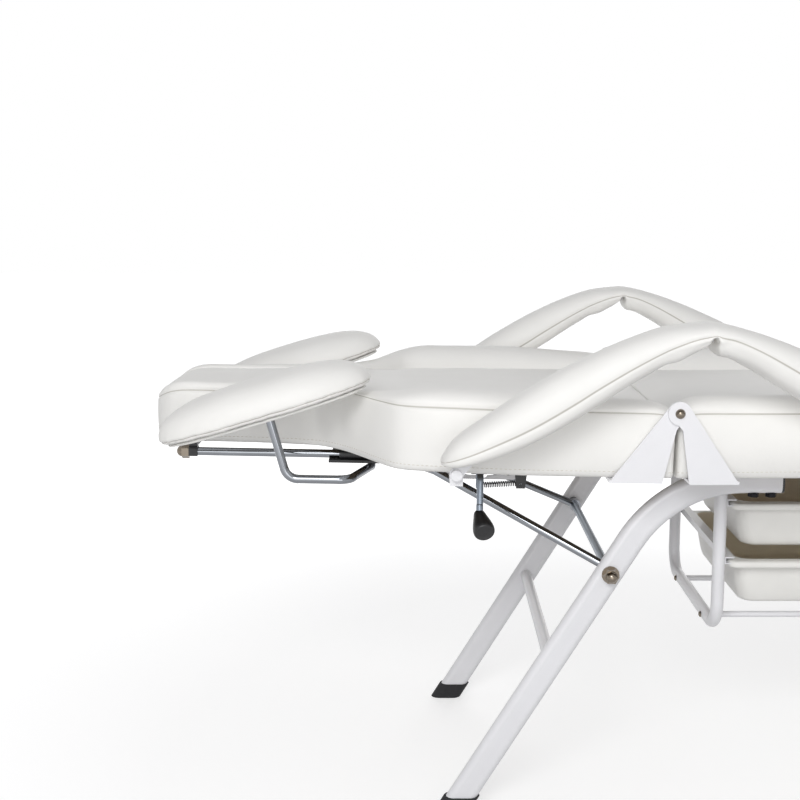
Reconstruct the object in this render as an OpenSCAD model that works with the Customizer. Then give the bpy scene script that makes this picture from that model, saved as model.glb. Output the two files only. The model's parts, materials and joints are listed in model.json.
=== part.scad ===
// Reclining treatment chair with a fixed seat, a lifting backrest, a lowering leg rest,
// hinged armrests, a sliding forearm pad frame and two storage trays under the seat.
// Millimetres. +Z is up and z = 0 is the floor. +X runs from the head end to the foot end.
// The origin is on the floor below the middle of the chair.

/* [Overall] */
// Length of the backrest, from its hinge to the head end
back_l = 715; // [595:5:820]
// Length of the seat, from hinge to hinge
seat_l = 520; // [440:5:600]
// Length of the leg rest, from its hinge to the foot end
leg_l = 540; // [420:5:600]
// Width of the cushions at the seat
cushion_w = 600; // [520:10:720]
// Width of the backrest at the head end
head_w = 204; // [170:2:240]
// Height of the underside of the seat above the floor
seat_under = 500; // [420:5:560]
// Depth of the cushions below the back hinge
cushion_drop = 88; // [80:1:100]
// Rise of the backrest towards the head end at rest, in degrees
back_tilt = 1.1; // [0:0.1:3]

/* [Motion] */
// Largest lift of the backrest, in degrees
back_lift = 60; // [40:1:60]
// Largest drop of the leg rest, in degrees
leg_drop = 60; // [30:1:60]
// Turn of the back strut for each degree of lift
back_strut_ratio = 0.8; // [0.79:0.005:0.81]
// Turn of the leg strut for each degree of drop
leg_strut_ratio = 1.38; // [1.37:0.005:1.39]
// Turn of the rear arm on the backrest for each degree of lift
arm_ratio = 0.57; // [0.56:0.005:0.58]
// Closing of the elbow for each degree of lift
elbow_ratio = 0.06; // [0.05:0.005:0.07]

/* [Frame] */
// Depth of the flat oval leg tube
leg_h = 38; // [34:1:44]
// Width of the flat oval leg tube
leg_w = 20; // [18:1:24]
// Wall of the steel tubes
tube_wall = 1.5; // [1.2:0.1:2.5]
// Distance of each leg from the middle plane
leg_y = 210; // [180:5:240]
// Slope of the legs below the horizontal, in degrees
leg_slope = 58.3; // [50:0.1:70]
// Radius of the bend at the middle of the leg tube
leg_bend_r = 180; // [120:5:220]
// Height of the cross shafts above the floor
shaft_z = 350; // [300:5:400]
// Distance of each cross shaft from the middle of the frame
shaft_x = 304; // [280:1:330]
// Distance of the middle of the frame behind the middle of the seat
frame_back = 25; // [0:1:40]
// Gap between the caps of the rear and the front leg tube
cap_gap = 142; // [100:2:180]
// Diameter of the cross shafts
shaft_d = 12; // [10:1:16]
// Height of the brace tubes above the floor
brace_z = 222; // [150:1:225]
// Diameter of the brace tubes
brace_d = 18; // [16:1:22]

/* [Struts] */
// Diameter of the strut rod
strut_d = 12; // [10:1:14]
// Distance of the strut eyes from the middle plane
strut_eye_y = 184; // [170:1:190]
// Distance of the strut corners from the middle plane
strut_tip_y = 78; // [60:1:100]
// Depth of the strut tip below the back board at rest
back_tip_drop = 18; // [17:1:21]
// Depth of the leg strut's tip below the leg board at rest
leg_tip_drop = 16; // [16:1:20]
// Distance of the strut tip from the back hinge at rest
back_tip_x = 348; // [330:1:370]
// Distance of the strut tip from the leg hinge at rest
leg_tip_x = 230; // [220:1:250]
// Thickness of the slotted rack plates
rack_t = 4; // [3:0.5:6]

/* [Trays] */
// Length of the trays, front to back
tray_l = 290; // [260:5:320]
// Width of the trays over their rims
tray_w = 250; // [220:5:280]
// Depth of the trays
tray_h = 68; // [50:1:80]
// Height of the lower tray's rim above the floor
tray_low_z = 348; // [330:1:360]
// Distance between the rims of the two trays
tray_pitch = 84; // [76:1:96]
// Diameter of the tray frame tubes
hoop_d = 18; // [16:1:22]

/* [Pads and arms] */
// Length of the forearm pads
pad_l = 300; // [260:5:330]
// Width of the forearm pads
pad_w = 145; // [120:1:150]
// Thickness of the forearm pads
pad_t = 52; // [40:1:60]
// Slope of the forearm pads against the back board, in degrees
pad_slope = 17.9; // [10:0.1:22]
// How far a forearm pad reaches in over the shoulder of the backrest
pad_lap = 19.4; // [11.9:0.5:19.4]
// Width of the armrests
arm_w = 76; // [60:1:80]
// Distance of the middle of the armrests outside the sides of the cushions
arm_out = 45; // [40:1:60]

/* [Hidden] */
$fn = 48;
vinyl = [0.95, 0.945, 0.935];
panel_grey = [0.82, 0.82, 0.83];
steel_white = [0.90, 0.91, 0.93];
chrome = [0.72, 0.73, 0.75];
zinc = [0.55, 0.56, 0.58];
black = [0.08, 0.08, 0.09];
plywood = [0.62, 0.52, 0.40];
tray_white = [0.93, 0.92, 0.89];
run_gap = 0.05;      // radial clearance of a running fit
soft_gap = 0.3;      // gap between a soft cover and the hard piece in it
hinge_z = seat_under + cushion_drop;
hinge_x = back_l - (back_l + seat_l + leg_l) / 2;
foot_x = hinge_x + seat_l;
foot_z = seat_under + 2;
frame_x = hinge_x + seat_l / 2 - frame_back;
half_w = cushion_w / 2;
arm_y = half_w + arm_out;
board_t = 15;
board_inset = 14;
plate_t = 3.5;
bolt_r = 4;
head_r = 6.5;
head_h = 5;

// The frame's tube path, seen from the side, for the rear leg
leg_top = seat_under - leg_h / 2;
arc_z = leg_top - leg_bend_r;
arc_x = -shaft_x + (leg_bend_r - cos(leg_slope) * (shaft_z - arc_z)) / sin(leg_slope);
foot_cap_h = 24;
cap_t = 3;

// ---------- functions ----------
function turn(p, a) = [p[0] * cos(a) - p[1] * sin(a), p[0] * sin(a) + p[1] * cos(a)];
function mix(a, b, t) = a + (b - a) * t;
function ease(t) = t <= 0 ? 0 : t >= 1 ? 1 : t * t * (3 - 2 * t);
function signed_pow(v, e) = sign(v) * pow(abs(v), e);

// Path of a strut's tip in its board's frame, for a fold of a degrees.
// shaft and tip are [x, z] from the board's hinge at rest.
function tip_at(shaft, tip, ratio, a) = turn(shaft + turn(tip - shaft, -ratio * a), a);

// ---------- small shapes ----------
module stadium(h, w) {
    square([h - w, w], center = true);
    for (s = [-1, 1]) translate([s * (h - w) / 2, 0]) circle(d = w);
}

module rod(a, b, r) {
    v = b - a;
    translate(a) rotate([0, acos(v[2] / norm(v)), atan2(v[1], v[0])]) cylinder(r = r, h = norm(v));
}

function unit(v) = v / norm(v);

// A bend is a little thicker than the straights, which run into it
bend_grow = 0.15;
bend_lap = 1;

// A rod through the points, with each corner bent to radius bend at its middle line
module bent_rod(points, r, bend) {
    last = len(points) - 1;
    // Length that each corner's bend takes off the straights beside it
    trims = [for (i = [0:last]) i == 0 || i == last ? 0 :
        bend * tan(corner_angle(points, i) / 2)];
    laps = [for (i = [0:last]) i == 0 || i == last ? 0 : bend_lap];
    for (i = [0:last - 1]) {
        d = unit(points[i + 1] - points[i]);
        rod(points[i] + d * (trims[i] - laps[i]),
            points[i + 1] - d * (trims[i + 1] - laps[i + 1]), r);
    }
    for (i = [1:last - 1]) {
        d = unit(points[i] - points[i - 1]);
        out = unit(points[i + 1] - points[i]);
        side = unit(cross(d, out));
        inward = cross(side, d);
        centre = points[i] - d * trims[i] + inward * bend;
        multmatrix([[-inward[0], d[0], side[0], centre[0]], [-inward[1], d[1], side[1], centre[1]],
            [-inward[2], d[2], side[2], centre[2]], [0, 0, 0, 1]])
            rotate_extrude(angle = corner_angle(points, i)) translate([bend, 0])
            circle(r = r + bend_grow);
    }
}
function corner_angle(points, i) = let (a = unit(points[i] - points[i - 1]),
    b = unit(points[i + 1] - points[i])) acos(min(a * b, 1));

module y_cylinder(r, y0, y1) {
    translate([0, y1, 0]) rotate([90, 0, 0]) cylinder(r = r, h = y1 - y0);
}

// An outline in X and Z, from y0 to y1
module side_plate(y0, y1) {
    translate([0, y1, 0]) rotate([90, 0, 0]) linear_extrude(y1 - y0) children();
}

// A slot around a chain of points. Its straights are a hair narrower than the round ends.
module chain(points, r) {
    half = r - 0.03;
    for (p = points) translate(p) circle(r = r);
    if (len(points) > 1) for (i = [0:len(points) - 2]) {
        v = points[i + 1] - points[i];
        translate(points[i]) rotate(atan2(v[1], v[0])) translate([0, -half]) square([norm(v), 2 * half]);
    }
}

module both_sides() {
    children();
    mirror([0, 1, 0]) children();
}

function centroid(ring) = [for (k = [0:2]) [for (p = ring) p[k]] * [for (p = ring) 1] / len(ring)];

// A closed skin over rings of points, all with the same count
module loft(rings) {
    n = len(rings[0]);
    m = len(rings);
    points = [for (ring = rings) for (p = ring) p];
    sides = [for (i = [0:m - 2]) for (j = [0:n - 1])
        let (a = i * n + j, b = i * n + (j + 1) % n, c = b + n, d = a + n)
        each [[a, b, c], [a, c, d]]];
    first = m * n;
    caps = [for (j = [0:n - 1]) let (k = (j + 1) % n, top = (m - 1) * n)
        each [[first, k, j], [first + 1, top + j, top + k]]];
    ends = [centroid(rings[0]), centroid(rings[m - 1])];
    polyhedron(points = concat(points, ends), faces = concat(sides, caps), convexity = 6);
}

// ---------- frames of the moving sections ----------
module on_back() translate([hinge_x, 0, hinge_z]) rotate([0, back_tilt, 0]) children();
module on_leg_rest() translate([foot_x, 0, foot_z]) children();
module on_frame(front) translate([frame_x, 0, 0]) mirror([front ? 1 : 0, 0, 0]) children();

// ---------- leg frames ----------
module leg_run(h, w, spare) {
    reach = arc_end()[1] / sin(leg_slope) + spare;
    translate([arc_x - bend_lap, 0, leg_top]) rotate([0, 90, 0])
        linear_extrude(-cap_gap / 2 - arc_x + spare - cap_t + bend_lap) stadium(h, w);
    translate([arc_x, 0, arc_z]) rotate([90, 0, 0]) rotate([0, 0, 90])
        rotate_extrude(angle = leg_slope) translate([leg_bend_r, 0])
        stadium(h + 2 * bend_grow, w + 2 * bend_grow);
    translate([arc_end()[0], 0, arc_end()[1]]) rotate([0, 270 - leg_slope, 0])
        translate([0, 0, -bend_lap]) linear_extrude(reach + bend_lap) stadium(h, w);
}

function arc_end() = [arc_x - leg_bend_r * sin(leg_slope), arc_z + leg_bend_r * cos(leg_slope)];
function on_leg(z) = -shaft_x - (shaft_z - z) / tan(leg_slope);

leg_bolt_x = [arc_x + 12, -cap_gap / 2 - 16];

module leg(front, side) {
    color(steel_white) on_frame(front) translate([0, side * leg_y, 0]) difference() {
        leg_run(leg_h, leg_w, 0);
        leg_run(leg_h - 2 * tube_wall, leg_w - 2 * tube_wall, 2);
        translate([-shaft_x, 0, shaft_z]) y_cylinder(shaft_d / 2 + run_gap, -leg_w, leg_w);
        for (x = leg_bolt_x) translate([x, 0, leg_top - leg_h]) cylinder(r = bolt_r + 0.2, h = 2 * leg_h);
        translate([on_leg(0) - 100, -leg_w, -100]) cube([200, 2 * leg_w, 100 + cap_t]);
    }
}

module braces() color(steel_white) for (front = [false, true]) on_frame(front)
    translate([on_leg(brace_z), 0, brace_z]) difference() {
        y_cylinder(brace_d / 2, -leg_y + leg_w / 2, leg_y - leg_w / 2);
        y_cylinder(brace_d / 2 - tube_wall, -leg_y, leg_y);
    }

// Feet: a cup that closes the slanted tube end and stands flat on the floor
module foot_caps() color(black) for (front = [false, true]) for (side = [-1, 1])
    on_frame(front) translate([on_leg(0), side * leg_y, 0]) difference() {
        intersection() {
            rotate([0, 90 - leg_slope, 0]) translate([0, 0, -40])
                linear_extrude(100) stadium(leg_h + 5, leg_w + 5);
            translate([-60, -30, 0]) cube([120, 60, foot_cap_h]);
        }
        difference() {
            rotate([0, 90 - leg_slope, 0]) translate([0, 0, -40])
                linear_extrude(100) stadium(leg_h, leg_w);
            translate([-60, -30, -60]) cube([120, 60, 60 + cap_t]);
        }
    }

module tube_caps() color(black) for (front = [false, true]) for (side = [-1, 1])
    on_frame(front) translate([-cap_gap / 2, side * leg_y, leg_top]) rotate([0, -90, 0]) {
        linear_extrude(cap_t) stadium(leg_h, leg_w);
        translate([0, 0, cap_t]) linear_extrude(7)
            stadium(leg_h - 2 * tube_wall - 0.1, leg_w - 2 * tube_wall - 0.1);
    }

module shafts() color(zinc) for (front = [false, true]) on_frame(front)
    translate([-shaft_x, 0, shaft_z])
        y_cylinder(shaft_d / 2, -shaft_end(), shaft_end());
washer_t = 2.5;
function shaft_end() = leg_y + leg_w / 2 + washer_t + 11;

module shaft_bushes() color(black) for (front = [false, true]) for (side = [-1, 1])
    on_frame(front) translate([-shaft_x, 0, shaft_z]) mirror([0, side > 0 ? 0 : 1, 0])
        difference() {
            y_cylinder(shaft_d / 2 + 3, strut_eye_y + eye_half + soft_gap, leg_y - leg_w / 2);
            y_cylinder(shaft_d / 2 + run_gap, 0, leg_y);
        }

module washers() color(chrome) for (front = [false, true]) for (side = [-1, 1])
    on_frame(front) translate([-shaft_x, 0, shaft_z]) mirror([0, side > 0 ? 0 : 1, 0])
        difference() {
            y_cylinder(shaft_d, leg_y + leg_w / 2, leg_y + leg_w / 2 + washer_t);
            y_cylinder(shaft_d / 2 + run_gap, 0, 2 * leg_y);
        }

module dome_nut(d) {
    hex = 0.9 * d;
    difference() {
        union() {
            cylinder(r = hex, h = 0.85 * d, $fn = 6);
            translate([0, 0, 0.85 * d]) intersection() {
                sphere(r = 0.68 * d);
                cylinder(r = d, h = d);
            }
        }
        translate([0, 0, -1]) cylinder(r = d / 2 + run_gap, h = 1 + 0.95 * d);
    }
}

module dome_nuts() color(chrome) for (front = [false, true]) for (side = [-1, 1])
    on_frame(front) translate([-shaft_x, side * (leg_y + leg_w / 2 + washer_t), shaft_z])
        rotate([-90 * side, 0, 0]) dome_nut(shaft_d);

module hex_bolt(grip) {
    translate([0, 0, -head_h]) cylinder(r = head_r * 1.15, h = head_h, $fn = 6);
    translate([0, 0, -0.01]) cylinder(r = bolt_r, h = grip + 0.01);
}

// ---------- cushions ----------
// Half outline of a cushion's section, from the middle of the underside to the middle of the top.
// w half width, b bolster width, crest, seam and panel heights, base height, lift of the middle
function half_section(w, b, crest, seam, panel, base) = [
    [0, base], [w * 0.6, base], [w - 7, base], [w - 1.5, base + 4],
    [w + 1.5, mix(base, seam, 0.3)], [w + 2.5, mix(base, seam, 0.6)], [w + 1, seam - 9],
    [w - 1.5, seam - 1], [w - 2.5, seam + 1.5],
    for (t = [25:32.5:155]) let (low = t < 90 ? seam + 1 : panel - 4)
        [w - b / 2 - 1 + (b / 2 - 1.5) * cos(t), low + (crest - low) * pow(sin(t), 0.75)],
    [w - b, panel - 5], [w - b - 4, panel - 4], [w - b - 14, panel],
    [(w - b) * 0.45, panel + 3], [0, panel + 4]];

// Closed ring at x, made of the half section and its mirror
function section_ring(x, half) = concat(
    [for (p = half) [x, p[0], p[1]]],
    [for (i = [len(half) - 2:-1:1]) [x, -half[i][0], half[i][1]]]);

// ---------- seat ----------
end_gap = 3;         // half of the gap between two sections
module board(x0, x1, z0, grow, widths) {
    n = len(widths) - 1;
    near = [for (w = widths) [min(max(w[0], x0), x1), w[1] - board_inset + grow]];
    translate([0, 0, z0 - grow]) linear_extrude(board_t + 2 * grow)
        polygon(concat(near, [for (i = [n:-1:0]) [near[i][0], -near[i][1]]]));
}

// Half width of the seat and the leg rest along their length
seat_widths = [[end_gap + 8, half_w], [seat_l - end_gap - 8, half_w]];
leg_widths = [[end_gap + 12, half_w], [leg_l * 0.55, half_w - 4], [leg_l - 90, half_w - 12],
    [leg_l - 40, half_w - 26], [leg_l - 18, half_w - 60]];

module seat_board() color(plywood) difference() {
    translate([hinge_x, 0, 0]) board(0, seat_l, seat_under, 0, seat_widths);
    translate([hinge_x, 0, 0]) bolt_holes(seat_bolt_points, seat_under);
    for (front = [false, true]) on_frame(front)
        bolt_holes([for (x = leg_bolt_x) [x, leg_y]], seat_under);
}

seat_crest = 17;     // height of the bolsters above the back hinge
seam_drop = 3;
panel_drop = 10;     // depth of the middle panel below the back hinge
bolster_w = 70;

function seat_station(u) = let (
        d = min(u - end_gap, seat_l - end_gap - u),
        k = sqrt(1 - pow(1 - min(d / 34, 1), 2)),
        tuck = 4 * (1 - min(d / 12, 1)))
    section_ring(u, half_section(half_w - tuck, bolster_w, mix(-7, seat_crest, k),
        -seam_drop - 8 * (1 - k), mix(-20, -panel_drop, k), -cushion_drop));

module seat_cushion() color(vinyl) translate([hinge_x, 0, hinge_z]) difference() {
    loft([for (u = [end_gap, end_gap + 3, end_gap + 9, end_gap + 20, end_gap + 36, 90, 150, 210,
        seat_l - 210, seat_l - 150, seat_l - 90, seat_l - end_gap - 36, seat_l - end_gap - 20,
        seat_l - end_gap - 9, seat_l - end_gap - 3, seat_l - end_gap]) seat_station(u)]);
    board(0, seat_l, -cushion_drop, soft_gap, seat_widths);
}

// ---------- backrest ----------
shoulder_at = 441;   // from the hinge to where the forearm pads pass the shoulder
neck_end = 478;      // from the hinge to where the head's straight sides start
// Share of the narrowing from the seat's width to the head's, against the distance from the hinge
back_taper = [[0, 0], [150, 0], [225, 0.02], [303, 0.066], [329, 0.086], [355, 0.136],
    [382, 0.308], [411, 0.545], [shoulder_at, 0.758], [neck_end, 0.904],
    [mix(neck_end, back_l, 0.4), 0.96], [mix(neck_end, back_l, 0.77), 0.98], [back_l, 1]];
function back_half(u) = mix(half_w, head_w / 2, lookup(u, back_taper));
pad_y = back_half(shoulder_at) + pad_w / 2 - pad_lap;
back_crest = [[0, 9], [60, 12], [175, 17], [313, 20], [375, 10], [410, 2], [475, 1], [back_l, 1]];
head_round = 62;     // length over which the head end is rounded off

function back_station(u) = let (
        e = min(max((u - (back_l - head_round)) / head_round, 0), 1),
        round_w = pow(1 - pow(e, 2.4), 0.5),
        w0 = back_half(u),
        w = mix(w0 * 0.42, w0, round_w) - 4 * (1 - min((u - end_gap) / 12, 1)),
        k = sqrt(1 - pow(1 - min((u - end_gap) / 34, 1), 2)),
        drop = 16 * pow(e, 3),
        b = mix(20, bolster_w, ease((w0 - 120) / 160)) * mix(0.7, 1, round_w),
        crest = mix(-7, lookup(u, back_crest), k) - drop,
        panel = mix(-20, mix(-9, -11, ease((w0 - 120) / 160)), k) - drop)
    section_ring(-u, half_section(w, b, crest, -seam_drop - 8 * (1 - k) - drop, panel,
        -cushion_drop + 5 * pow(e, 3)));

back_us = [end_gap, end_gap + 3, end_gap + 9, end_gap + 20, end_gap + 36, 100, 175, 250, 303, 329,
    355, 368, 382, 396, 411, 426, shoulder_at, 460, neck_end,
    for (t = [0.25:0.25:1]) mix(neck_end, back_l - head_round, t),
    for (d = [44, 28, 16, 8, 3, 0]) back_l - d];

module back_cushion() color(vinyl) on_back() difference() {
    mirror([0, 1, 0]) loft([for (u = back_us) back_station(u)]);
    back_board_shape(soft_gap);
}

back_board_end = back_l - 30;
module back_board_shape(grow) {
    widths = [for (u = [8, 150, 225, 303, 329, 355, 382, 411, shoulder_at, neck_end,
        mix(neck_end, back_board_end, 0.45), back_board_end - 25, back_board_end])
        [-u, back_half(u) - (u == back_board_end ? 22 : 0)]];
    board(-back_board_end, -8, -cushion_drop, grow, widths);
}

module back_board() color(plywood) on_back() difference() {
    back_board_shape(0);
    bolt_holes(back_bolt_points, -cushion_drop);
    bolt_holes([for (x = rack_bolt_points) [x, rack_y - 10]], -cushion_drop);
}

// ---------- back hinge plates ----------
inner_y = half_w + 6;
outer_y = inner_y + plate_t + 0.5;
eye_r = 15;

module fan(points, y0, y1, flange_x, hole_r, inward) {
    difference() {
        union() {
            side_plate(y0, y1) union() {
                circle(r = eye_r);
                polygon(points);
            }
            translate([flange_x[0], y1 - inward, -cushion_drop - plate_t])
                cube([flange_x[1] - flange_x[0], inward, plate_t]);
        }
        y_cylinder(hole_r, y0 - 1, y1 + 1);
        for (x = flange_x + [20, -20]) translate([x, y1 - inward + 20, -cushion_drop - 20])
            cylinder(r = bolt_r + 0.2, h = 40);
    }
}

fan_inner = 18;
fan_outer = 86;
module hinge_plates_back() color(steel_white) on_back() both_sides()
    fan([[-eye_r * 0.9, eye_r * 0.42], [eye_r * 0.1, -eye_r], [-3, -22],
        [-fan_inner, -cushion_drop - plate_t],
        [-fan_outer, -cushion_drop - plate_t]], inner_y, inner_y + plate_t,
        [-fan_outer, -fan_inner], bolt_r + run_gap, 50);

module hinge_plates_seat() color(steel_white) translate([hinge_x, 0, hinge_z]) both_sides()
    fan([[eye_r * 0.9, eye_r * 0.42], [fan_outer - 8, -cushion_drop - plate_t],
        [fan_inner - 4, -cushion_drop - plate_t], [4, -22], [-eye_r * 0.1, -eye_r]],
        outer_y, outer_y + plate_t, [fan_inner - 4, fan_outer - 8], bolt_r + run_gap, 54);

module pivot_screw(y0, y1) {
    y_cylinder(bolt_r, y0, y1);
    intersection() {
        translate([0, y1 - 1, 0]) sphere(r = 6.5);
        y_cylinder(7, y1, y1 + 8);
    }
}

module hinge_screws() color(chrome) both_sides() {
    translate([hinge_x, 0, hinge_z]) pivot_screw(inner_y - 1.5, outer_y + plate_t);
    translate([foot_x, 0, foot_z]) pivot_screw(inner_y - 1.5, outer_y + plate_t);
}

// ---------- leg rest hinge plates ----------
strap_l = 84;
module strap(s, y0, y1, hole_r, inward) {
    low = -(foot_z - seat_under);
    difference() {
        union() {
            side_plate(y0, y1) union() {
                circle(r = 11);
                polygon([[0, 11], [s * strap_l, 22], [s * strap_l, low - plate_t], [0, -11]]);
            }
            translate([s > 0 ? 22 : -strap_l, y1 - inward, low - plate_t])
                cube([strap_l - 22, inward, plate_t]);
        }
        y_cylinder(hole_r, y0 - 1, y1 + 1);
        for (x = [38, 68]) translate([s * x, y1 - inward + 20, low - 20]) cylinder(r = bolt_r + 0.2, h = 40);
    }
}
module foot_plates_seat() color(steel_white) on_leg_rest() both_sides()
    strap(-1, outer_y, outer_y + plate_t, bolt_r + run_gap, 54);
module foot_plates_leg() color(steel_white) on_leg_rest() both_sides()
    strap(1, inner_y, inner_y + plate_t, bolt_r + run_gap, 50);

// ---------- leg rest ----------
leg_round = 60;
function leg_station(u) = let (
        e = min(max((u - (leg_l - leg_round)) / leg_round, 0), 1),
        w0 = mix(half_w, half_w - 14, ease(u / leg_l)),
        round_w = pow(1 - pow(e, 2.4), 0.5),
        w = mix(w0 * 0.62, w0, round_w) - 4 * (1 - min((u - end_gap) / 12, 1)),
        k = sqrt(1 - pow(1 - min((u - end_gap) / 34, 1), 2)),
        top = cushion_drop - 2,
        drop = 18 * pow(e, 3))
    section_ring(u, half_section(w, bolster_w * mix(0.6, 1, round_w),
        mix(-7, seat_crest - 2, k) + top - drop, top - seam_drop - 8 * (1 - k) - drop,
        mix(-20, -panel_drop, k) + top - drop, -2 + 5 * pow(e, 3)));

module leg_board_shape(grow) board(0, leg_l, -2, grow, leg_widths);
module leg_board() color(plywood) on_leg_rest() difference() {
    leg_board_shape(0);
    bolt_holes(leg_bolt_points, -2);
    bolt_holes([for (x = rack_leg_points) [x, rack_y - 10]], -2);
}
module leg_cushion() color(vinyl) on_leg_rest() difference() {
    loft([for (u = [end_gap, end_gap + 3, end_gap + 9, end_gap + 20, end_gap + 36, 110, 190, 270,
        350, 420, leg_l - leg_round, leg_l - 42, leg_l - 26, leg_l - 14, leg_l - 7, leg_l - 2, leg_l])
        leg_station(u)]);
    leg_board_shape(soft_gap);
}

// ---------- struts and racks ----------
back_shaft = turn([frame_x - shaft_x - hinge_x, shaft_z - hinge_z], back_tilt);
back_tip = [-back_tip_x, -cushion_drop - back_tip_drop];
leg_shaft = [frame_x + shaft_x - foot_x, shaft_z - foot_z];
leg_tip = [leg_tip_x, -2 - leg_tip_drop];
function back_path(a) = tip_at(back_shaft, back_tip, back_strut_ratio, a);
function leg_path(a) = tip_at(leg_shaft, leg_tip, leg_strut_ratio, a);
slot_r = strut_d / 2 + 0.4;
rack_y = 42;
rack_steps = 12;

// Two slotted plates with notches, hung under a board by inward flanges.
// path holds the slot's points, top is the height of the board's underside.
function rack_span(path) = let (xs = [for (p = path) p[0]]) [min(xs) - 20, max(xs) + 20];
module rack(path, top) {
    first = path[0];
    last = path[len(path) - 1];
    x0 = rack_span(path)[0];
    x1 = rack_span(path)[1];
    low = min([for (p = path) p[1]]) - slot_r - 5;
    shelf = max(min(first[1], last[1]) - slot_r - 9, low);
    both_sides() {
        side_plate(rack_y, rack_y + rack_t) difference() {
            polygon([[x0, top], [x0, shelf], [mix(x0, x1, 0.3), low], [mix(x0, x1, 0.7), low],
                [x1, shelf], [x1, top]]);
            chain(path, slot_r);
            for (i = [2:2:len(path) - 2]) translate(path[i] - [0, 3.5]) circle(r = slot_r);
        }
        difference() {
            translate([x0, rack_y - 20, top - plate_t]) cube([x1 - x0, 20, plate_t]);
            for (x = [x0 + 25, x1 - 25]) translate([x, rack_y - 10, top - 5])
                cylinder(r = bolt_r + 0.2, h = 10);
        }
    }
}

back_slot = [for (i = [0:rack_steps]) back_path(back_lift * i / rack_steps)];
leg_slot = [for (i = [0:rack_steps]) leg_path(leg_drop * i / rack_steps)];
module rack_back() color(steel_white) on_back() rack(back_slot, -cushion_drop);
module rack_leg() color(steel_white) on_leg_rest() rack(leg_slot, -2);

strut_bend = 22;
eye_half = 7.5;      // half of the width of a strut's eye
// A wishbone: two eyes on the shaft, two rods that draw together, and a crossbar at the tip
module strut(shaft, tip) {
    r = strut_d / 2;
    eye = [shaft[0], -strut_eye_y, shaft[1]];
    corner = [tip[0], -strut_tip_y, tip[1]];
    root = (shaft_d / 2 + 1) / norm(corner - eye);
    difference() {
        union() {
            bent_rod([mix(eye, corner, root), corner, [corner[0], -corner[1], corner[2]],
                mix([eye[0], -eye[1], eye[2]], [corner[0], -corner[1], corner[2]], root)],
                r, strut_bend);
            for (s = [-1, 1]) translate([shaft[0], 0, shaft[1]])
                y_cylinder(shaft_d / 2 + 3.5, s * strut_eye_y - eye_half, s * strut_eye_y + eye_half);
        }
        translate([shaft[0], 0, shaft[1]]) y_cylinder(shaft_d / 2 + run_gap, -leg_y, leg_y);
    }
}

module strut_back() color(chrome) translate([hinge_x, 0, hinge_z])
    strut([frame_x - shaft_x - hinge_x, shaft_z - hinge_z], turn(back_tip, -back_tilt));
module strut_leg() color(chrome) on_leg_rest() strut(leg_shaft, leg_tip);

// ---------- armrests ----------
// Points of the near arm, from the back hinge: pivot on the backrest, elbow, pivot on the seat
elbow = [26, 104];
arm_pivot = [-283, -71];
arm_front = [2 * elbow[0] - arm_pivot[0], arm_pivot[1]];
bar_t = 6;
bar_w = 24;
lug_t = 4;

arm_top = [[-303, -50], [-287, -27], [-258, -6], [-200, 33], [-143, 66], [-71, 98], [-20, 113],
    [26, 118]];
arm_low = [[-303, -57], [-285, -60], [-228, -43], [-170, -13], [-112, 18], [-55, 50], [2, 80],
    [14, 86], [26, 94]];

function arm_ring(x) = let (
        e = min((x + 303) / 60, 1),
        hw = arm_w / 2 * pow(1 - pow(1 - e, 2.2), 0.5) + 2,
        zt = lookup(x, arm_top), zb = lookup(x, arm_low), seam = mix(zb, zt, 0.36))
    [for (t = [0:24:336]) let (s = sin(t), top = s > 0)
        [x, hw * signed_pow(cos(t), top ? 0.75 : 0.5),
            seam + (top ? zt - seam : seam - zb) * signed_pow(s, top ? 0.8 : 0.7)]];

// Outline of the bar inside an arm, with the eye at the elbow and the lug at the pivot
module bar_outline(grow) {
    start = [-262, -46];
    a = atan2(elbow[1] - start[1], elbow[0] - start[0]);
    translate(start) rotate(a) translate([-grow, -bar_t / 2 - grow])
        square([norm(elbow - start) + grow, bar_t + 2 * grow]);
}
module lug_outline(grow) {
    chain([[-262, -46], arm_pivot], 7 + grow);
}

module core_body(grow) {
    side_plate(arm_y - bar_w / 2 - grow, arm_y + bar_w / 2 + grow) difference() {
        bar_outline(grow);
        translate(elbow) circle(r = 9.5 + (grow > 0 ? -9.5 : 0) + 0.01);
    }
    side_plate(arm_y - grow, arm_y + lug_t + grow) lug_outline(grow);
}

// Front arm: the same bar, mirrored about the elbow
module mirror_elbow() translate([2 * elbow[0], 0, 0]) mirror([1, 0, 0]) children();

module core_rear(side) color(zinc) translate([hinge_x, 0, hinge_z]) mirror([0, side > 0 ? 0 : 1, 0])
    difference() {
        union() {
            core_body(0);
            translate([elbow[0], 0, elbow[1]]) y_cylinder(8, arm_y - bar_w / 2, arm_y - 0.3);
            translate([elbow[0], 0, elbow[1]]) y_cylinder(4, arm_y - 1, arm_y + bar_w / 2);
            side_plate(arm_y - bar_w / 2, arm_y - 0.3) bar_outline(0);
        }
        translate([arm_pivot[0], 0, arm_pivot[1]]) y_cylinder(bolt_r + run_gap, arm_y - 5, arm_y + 9);
    }

module core_front(side) color(zinc) translate([hinge_x, 0, hinge_z]) mirror([0, side > 0 ? 0 : 1, 0])
    mirror_elbow() difference() {
        union() {
            core_body(0);
            translate([elbow[0], 0, elbow[1]]) y_cylinder(8, arm_y + 0.3, arm_y + bar_w / 2);
            side_plate(arm_y + 0.3, arm_y + bar_w / 2) bar_outline(0);
            // Headed pin that runs in the slot of the seat's plate
            translate([arm_pivot[0], 0, arm_pivot[1]]) {
                y_cylinder(bolt_r, ear_in - 4.7, arm_y + lug_t);
                y_cylinder(9, ear_in - 4.7, ear_in - soft_gap);
            }
        }
        translate([elbow[0], 0, elbow[1]]) y_cylinder(4 + run_gap, arm_y - 5, arm_y + bar_w);
    }

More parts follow.
